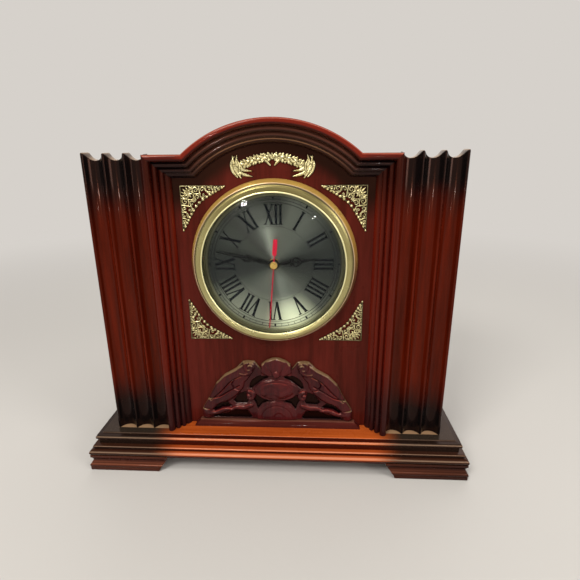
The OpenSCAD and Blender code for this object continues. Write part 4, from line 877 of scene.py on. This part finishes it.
def brushed_dial():
    """Metal brushed outwards from the centre with a spun rim; its colour carries painted sheen, shade and
    reflections.
    """
    made, tree, shader = new_material("brushed_dial")
    reach = reach_from(tree, DIAL_Z * MM, ACROSS)
    turn = calc(tree, "ARCTAN2", calc(tree, "SUBTRACT", measure(tree, "Z"), DIAL_Z * MM), measure(tree, "X"))
    around, outward = calc(tree, "MULTIPLY", turn, 42.0), calc(tree, "MULTIPLY", reach, 14.0)
    lines = noise(tree, add_node(tree, "CombineXYZ", {0: around, 1: outward}).outputs[0], 1.6, 5.0, 0.75)

    def lobe(towards, repeats, low, high):
        """Mask that is highest along a direction, in degrees from three o'clock."""
        lean = calc(tree, "MULTIPLY_ADD", turn, repeats, -repeats * math.radians(towards))
        return rescale(tree, calc(tree, "COSINE", lean), low, high)

    shade = rescale(tree, lines, 0.3, 0.7, -0.1, 0.1)
    # Painted sheen: the plate is lighter along a line through the centre towards twelve and six, and darker
    # across it.
    share = calc(tree, "ADD", lobe(94, 2.0, -1.0, 0.8), shade, use_clamp=True)
    colour = mixed(tree, share, tone(52, 56, 54), tone(106, 110, 102))
    # Painted sheens and shades, each with a direction, where its lobe starts and is full, the same for its
    # reach, and a colour: the first three are painted shade under the lamps' own highlights, the last two
    # painted reflections low on the dial.
    for towards, low, high, near, far, shine in (
            (125, 0.906, 0.99, 0.0, 0.001, (64, 66, 62)), (100, 0.88, 0.97, 0.028, 0.04, (58, 60, 56)),
            (-73, 0.86, 0.966, 0.04, 0.03, (86, 90, 84)), (-104, 0.5, 1.02, 0.026, 0.05, (146, 150, 134)),
            (-73, 0.88, 1.02, 0.03, 0.05, (196, 202, 174))):
        sheen = calc(tree, "MULTIPLY", lobe(towards, 1.0, low, high), rescale(tree, reach, near, far))
        colour = mixed(tree, sheen, colour, tone(*shine))
    # Painted reflection of the brass bezel: a yellowish tint at the outer edge.
    colour = mixed(tree, rescale(tree, reach, 0.0555, 0.059, 0.0, 0.5), colour, tone(150, 144, 100))
    # The rim's turned lines are 0.9 mm apart.
    rim = rescale(tree, reach, 0.0508, 0.0516)
    spun = calc(tree, "SINE", calc(tree, "MULTIPLY", reach, 2 * math.pi / 0.0009))
    depth = calc(tree, "MULTIPLY_ADD", calc(tree, "MULTIPLY", spun, rim), 0.5, lines)
    groove = add_node(tree, "Bump", {"Height": depth, "Strength": 0.06, "Distance": 0.0003}).outputs[0]
    tangent = add_node(tree, "Tangent", direction_type="RADIAL", axis="Y").outputs[0]
    set_inputs(tree, shader, {
        "Base Color": colour, "Roughness": rescale(tree, lines, 0.3, 0.7, 0.34, 0.46), "Normal": groove,
        "Tangent": tangent, "Metallic": 1.0, "Anisotropic": 0.9, "Anisotropic Rotation": 0.25})
    return made


finish(brushed_dial(), "dial_plate")


def plain(name, colour, rough, metallic=0.0, scale=80.0, shine=0.5):
    """Moulded plastic, ink or card with a faint mottle."""
    made, tree, shader = new_material(name)
    mottle = noise(tree, point_in(tree), scale, 3.0)
    lower, upper = ([min(c * swing, 1.0) for c in tone(*colour)[:3]] + [1.0] for swing in (0.88, 1.12))
    set_inputs(tree, shader, {
        "Base Color": mixed(tree, mottle, lower, upper), "Metallic": metallic, "Specular IOR Level": shine,
        "Roughness": rescale(tree, mottle, 0.0, 1.0, rough - 0.05, rough + 0.05)})
    return made


def turned(profile, steps=180):
    """Points and faces of a closed profile of (radius, y), turned round the dial's centre."""
    rings = []
    for i in range(steps):
        a = 2 * math.pi * i / steps
        rings.append([(r * math.cos(a), y, DIAL_Z + r * math.sin(a)) for r, y in profile])
    return loft(rings, closed=True)


NUMERAL_FOOT, NUMERAL_HEAD, DIAL_Y, INK = 33.4, 50.4, -35.5, 0.12
# Each letter's width and strokes: x at the foot and at the head, half width, and half width of the serifs.
LETTERS = {"I": (3.75, [(0, 0, 1.0, 1.75)]),
           "V": (7.7, [(0.25, -2.85, 1.15, 1.8), (0.15, 3.0, 0.55, 1.45)]),
           "X": (8.2, [(2.8, -2.8, 1.2, 1.8), (-2.9, 2.9, 0.55, 1.45)])}


def numeral_strokes(letters):
    """Outlines (across, outwards) of the strokes and serifs of a bold Roman numeral."""
    foot, head, serif = NUMERAL_FOOT, NUMERAL_HEAD, 0.8
    at = -sum(LETTERS[letter][0] for letter in letters) / 2
    outlines = []
    for letter in letters:
        width, slants = LETTERS[letter]
        middle = at + width / 2
        for foot_x, head_x, half, serif_half in slants:
            bars = [(foot_x, foot, head_x, head, half), (head_x, head, head_x, head - serif, serif_half)]
            if letter != "V":
                bars.append((foot_x, foot, foot_x, foot + serif, serif_half))
            outlines += [[(middle + x0 - w, z0), (middle + x0 + w, z0), (middle + x1 + w, z1),
                          (middle + x1 - w, z1)] for x0, z0, x1, z1, w in bars]
        at += width
    return outlines


def dial_print():
    """Points and faces of the numerals, the minute marks and the rings."""
    rings = ((32.4, 0.1), (51.6, 0.2), (54.0, 0.16), (56.5, 0.2), (59.0, 0.12))
    face_y = DIAL_Y - INK
    shapes = [turned([(r - half, DIAL_Y), (r - half, face_y), (r + half, face_y), (r + half, DIAL_Y)])
              for r, half in rings]
    dash = [(-0.16, 54.1), (0.16, 54.1), (0.16, 56.4), (-0.16, 56.4)]
    diamond = [(0, 53.4), (1.0, 55.2), (0, 57.0), (-1.0, 55.2)]
    marks = [(dash if minute % 5 else diamond, 6 * minute) for minute in range(60)]
    for hour, letters in enumerate("XII I II III IIII V VI VII VIII IX X XI".split()):
        marks += [(outline, 30 * hour) for outline in numeral_strokes(letters)]
    for outline, turn in marks:
        across, along = math.cos(math.radians(turn)), math.sin(math.radians(turn))
        shapes.append(loft([[(u * across + r * along, y, DIAL_Z + r * across - u * along) for u, r in outline]
                            for y in (DIAL_Y, face_y)]))
    points, faces = [], []
    for more_points, more_faces in shapes:
        faces += [tuple(i + len(points) for i in face) for face in more_faces]
        points += more_points
    return points, faces


piece("dial_print", dial_print(), plain("dial_ink", (12, 14, 19), 0.6, scale=300.0, shine=0.03),
      "dial_markings")
piece("dial_spacer", turned([(59.5, -40.9), (59.5, -36), (60, -35.5), (64.1, -35.5), (64.1, -40.9)]),
      plain("spacer_plastic", (96, 92, 64), 0.3, metallic=0.6), "spacer_ring")

# Bezel: a front ring that holds the glass and an outer ring that covers the pan's flange.
# Spun brass, the front ring satin and pale with a painted highlight at its lip, the outer ring polished and
# warmer.
bezel_gilt = metal("bezel_gilt", (176, 168, 118), (152, 142, 95), scale=30.0, bump=0.03)
# Painted shade towards the top of the front ring, a painted highlight on its lip, and painted shade on the
# sides behind its front face.
stain(bezel_gilt, (134, 124, 80), ("Z", 0.215, 0.255))
lip_reach = reach_from(bezel_gilt.node_tree, DIAL_Z * MM, ACROSS)
stain(bezel_gilt, (250, 244, 190), (lip_reach, 0.0611, 0.0609))
stain(bezel_gilt, (34, 27, 12), ("Y", -0.0446, -0.0438))
outer_gilt = metal("outer_gilt", (222, 184, 98), (198, 158, 78), scale=30.0, metallic=0.4)
# Painted shade on the outer ring's faces that do not turn up, and a painted highlight along its crest.
stain(outer_gilt, (124, 86, 56), ("up", 0.25, -0.15))
stain(outer_gilt, (204, 176, 138), ("Y", -0.0416, -0.042))
lip_turns = [math.radians(a) for a in range(160, -1, -20)]
ring_profile = [(65.2, -35.3), (65.2, -41), (66.2, -41.2), (66.2, -44), (65.3, -44.6), (65, -45.35),
                (64.6, -45.6), (64, -45.7), (61.3, -45.15), (61, -44.95),
                *[(60.35 - 0.65 * math.cos(a), -44.8 - 0.55 * math.sin(a)) for a in lip_turns],
                (59.7, -43.2), (60.6, -43.05), (64.2, -42.9), (64.2, -35.3)]
flange_profile = [(66.35, -35.3), (66.35, -41.4), (66.5, -41.9), (67, -42.1), (67.5, -41.9), (68.3, -40.5),
                  (69.2, -38.8), (70, -37), (70.35, -36.2), (70.5, -35.5), (70.5, -34.5), (69.2, -34.5),
                  (69.2, -35.3)]
piece("front_bezel_ring", turned(ring_profile, 240), bezel_gilt, "bezel_ring", crease=28)
piece("outer_bezel_ring", turned(flange_profile, 240), outer_gilt, "bezel_flange", crease=28)


# Glass: a domed mineral glass, ground at its edge, held under the lip of the front ring.
# Coated, so that the dial reads through it; its low index keeps reflections faint.
def clear_glass():
    made, tree, shader = new_material("lens_glass")
    haze = rescale(tree, noise(tree, point_in(tree), 30.0, 2.0), 0.0, 1.0, 0.0, 0.03)
    set_inputs(tree, shader, {"Base Color": (0.96, 0.98, 0.97, 1.0), "Roughness": haze,
                              "Transmission Weight": 1.0, "IOR": 1.17})
    through = add_node(tree, "BsdfTransparent", {"Color": (0.93, 0.95, 0.94, 1.0)}).outputs[0]
    is_shadow = add_node(tree, "LightPath").outputs["Is Shadow Ray"]
    either = add_node(tree, "MixShader", {0: is_shadow, 1: shader.outputs[0], 2: through}).outputs[0]
    set_inputs(tree, tree.nodes["Material Output"], {"Surface": either})
    return made


def domed_lens():
    """Two shallow domes with a ground edge, each closed by triangles at its middle."""
    lens_r, thick, ball_r, crown_y, levels, steps = 60.5, 1.8, 408.9, -47.2, 40, 160
    ball_y = crown_y + ball_r
    radii = [lens_r * i / levels for i in range(1, levels + 1)]
    front = [(r, ball_y - math.sqrt(ball_r ** 2 - r ** 2)) for r in radii]
    back = [(r, ball_y - math.sqrt((ball_r - thick) ** 2 - r ** 2)) for r in radii]
    points, faces = turned(front + back[::-1], steps)
    per_ring = 2 * levels
    faces = [f for f in faces if {f[0] % per_ring, f[1] % per_ring} != {0, per_ring - 1}]
    points += [(0.0, crown_y, DIAL_Z), (0.0, crown_y + thick, DIAL_Z)]
    for i in range(steps):
        a, b = i * per_ring, (i + 1) % steps * per_ring
        faces += [(a, b, len(points) - 2), (a + per_ring - 1, b + per_ring - 1, len(points) - 1)]
    return points, faces


piece("domed_glass", domed_lens(), clear_glass(), "glass", crease=40)

# Hands: black pierced hands on their pipes, a red second hand with a broad tail, and a brass hub.
# Stamped steel, painted; the hub cap is pressed on the second arbor.
finish(metal("nut_brass", (214, 176, 96), (170, 132, 66), scale=200.0), "mounting_nut")
hand_black = plain("hand_black", (12, 13, 13), 0.4, scale=200.0, shine=0.06)
# Strokes along each hand as (along, across, radius), and round holes in it.
hour_strokes = [
    [(0, 0, 4.6), (0.1, 0, 4.6)], [(4, 0, 1), (14.8, 0, 0.95)], leaf_line(7.4, 0, 0, 6.2, 1.8),
    [(18.8, 0, 4.1), (18.9, 0, 4.1)], [(14.4, -2.2, 1.1), (14.4, 2.2, 1.1)],
    [(22.4, -1.6, 0.9), (22.4, 1.6, 0.9)], [(22, 0, 1.4), (27, 0, 0.95), (36, 0, 0.45)]]
hour_holes = [(18.5, 1.85, 1.3), (18.5, -1.85, 1.3), (0, 0, 2.5)]
minute_strokes = [
    [(0, 0, 3.6), (0.1, 0, 3.6)], [(3.4, 0, 1), (21, 0, 0.85)], leaf_line(8.6, 0.3, 0, 8.4, 1.7),
    [(19.4, 0, 1.1), (23.6, -2.4, 1), (28.4, 0, 0.9), (23.6, 2.4, 1), (19.4, 0, 1.1)],
    [(20.2, -1.6, 0.6), (20.2, 1.6, 0.6)], [(27, 0, 1.1), (33, 0, 0.8), (49.2, 0, 0.45)]]
minute_holes = [(0, 0, 1.6)]


def hand_shape(turn, lines, holes):
    """A hand's shape, turned clockwise from twelve."""
    def shape(x, z):
        along = x * math.sin(turn) + (z - DIAL_Z) * math.cos(turn)
        across = x * math.cos(turn) - (z - DIAL_Z) * math.sin(turn)
        depth = strokes(along, across, [(line, 1) for line in lines])[0]
        for u, v, r in holes:
            depth = np.minimum(depth, np.hypot(along - u, across - v) - r)
        return depth, 0.3 + 0.2 * np.clip(depth / 0.3, 0, 1)
    return shape


for body, turn, length, hand_back, lines, holes in (
        ("hour", math.radians(83.0), 36.6, -37.2, hour_strokes, hour_holes),
        ("minute", math.radians(282.8), 49.8, -38.4, minute_strokes, minute_holes)):
    tip_x, tip_z = length * math.sin(turn), length * math.cos(turn)
    low = (min(tip_x, 0) - 5.0, DIAL_Z + min(tip_z, 0) - 5.0)
    high = (max(tip_x, 0) + 5.0, DIAL_Z + max(tip_z, 0) + 5.0)
    hand = relief(hand_shape(turn, lines, holes), low, high, 0.2, back_y=hand_back)
    piece("pierced_" + body + "_hand", hand, hand_black, body + "_hand", body=body, crease=50)
finish(plain("hand_red", (160, 10, 40), 0.45, scale=200.0, shine=0.1), "second_hand")
finish(metal("hub_brass", (214, 182, 104), (186, 150, 78), scale=160.0), "hub_cap")

# Movement: a battery movement in a black moulded case, with its train of white wheels.
# Two snap-fitted shells hold the coil, the stator, the circuit board, the wheels and one AA cell.
finish(plain("movement_plastic", (26, 26, 28), 0.55, scale=500.0),
       "movement_front_case", "movement_back_case", "setting_knob")
finish(plain("gear_plastic", (214, 212, 204), 0.4, scale=300.0), "intermediate_wheel", "second_wheel",
       "third_wheel", "centre_wheel", "setting_wheel", "hour_wheel", "minute_arbor")
finish(plain("rotor_plastic", (66, 74, 88), 0.4, scale=300.0), "rotor")
finish(plain("battery_wrap", (186, 128, 46), 0.3, scale=60.0), "battery")
finish(metal("contact_steel", (186, 188, 190), (140, 142, 146), scale=120.0), "battery_contacts")
finish(plain("board_laminate", (28, 84, 48), 0.45, scale=400.0), "circuit_board")
finish(plain("coil_copper", (168, 84, 44), 0.35, metallic=0.8, scale=900.0), "coil")
finish(metal("stator_steel", (160, 162, 166), (120, 122, 126), scale=90.0), "stator")

# Back fittings: two butt hinges and a knob on the back door, a magnetic catch and its plate.
# Brassed steel, screwed on; the catch is a black moulding with a magnet in it.
finish(metal("fitting_brass", (206, 170, 96), (160, 124, 62), scale=120.0, bump=0.04),
       "case_hinge_leaves", "door_hinge_leaves", "hinge_pins", "door_knob")
finish(plain("magnet_plastic", (34, 34, 36), 0.5, scale=300.0), "catch_magnet")
finish(metal("strike_steel", (184, 186, 188), (138, 140, 144), scale=120.0), "strike_plate")
finish(metal("screw_steel", (170, 168, 160), (122, 120, 112), scale=200.0), "base_screws")
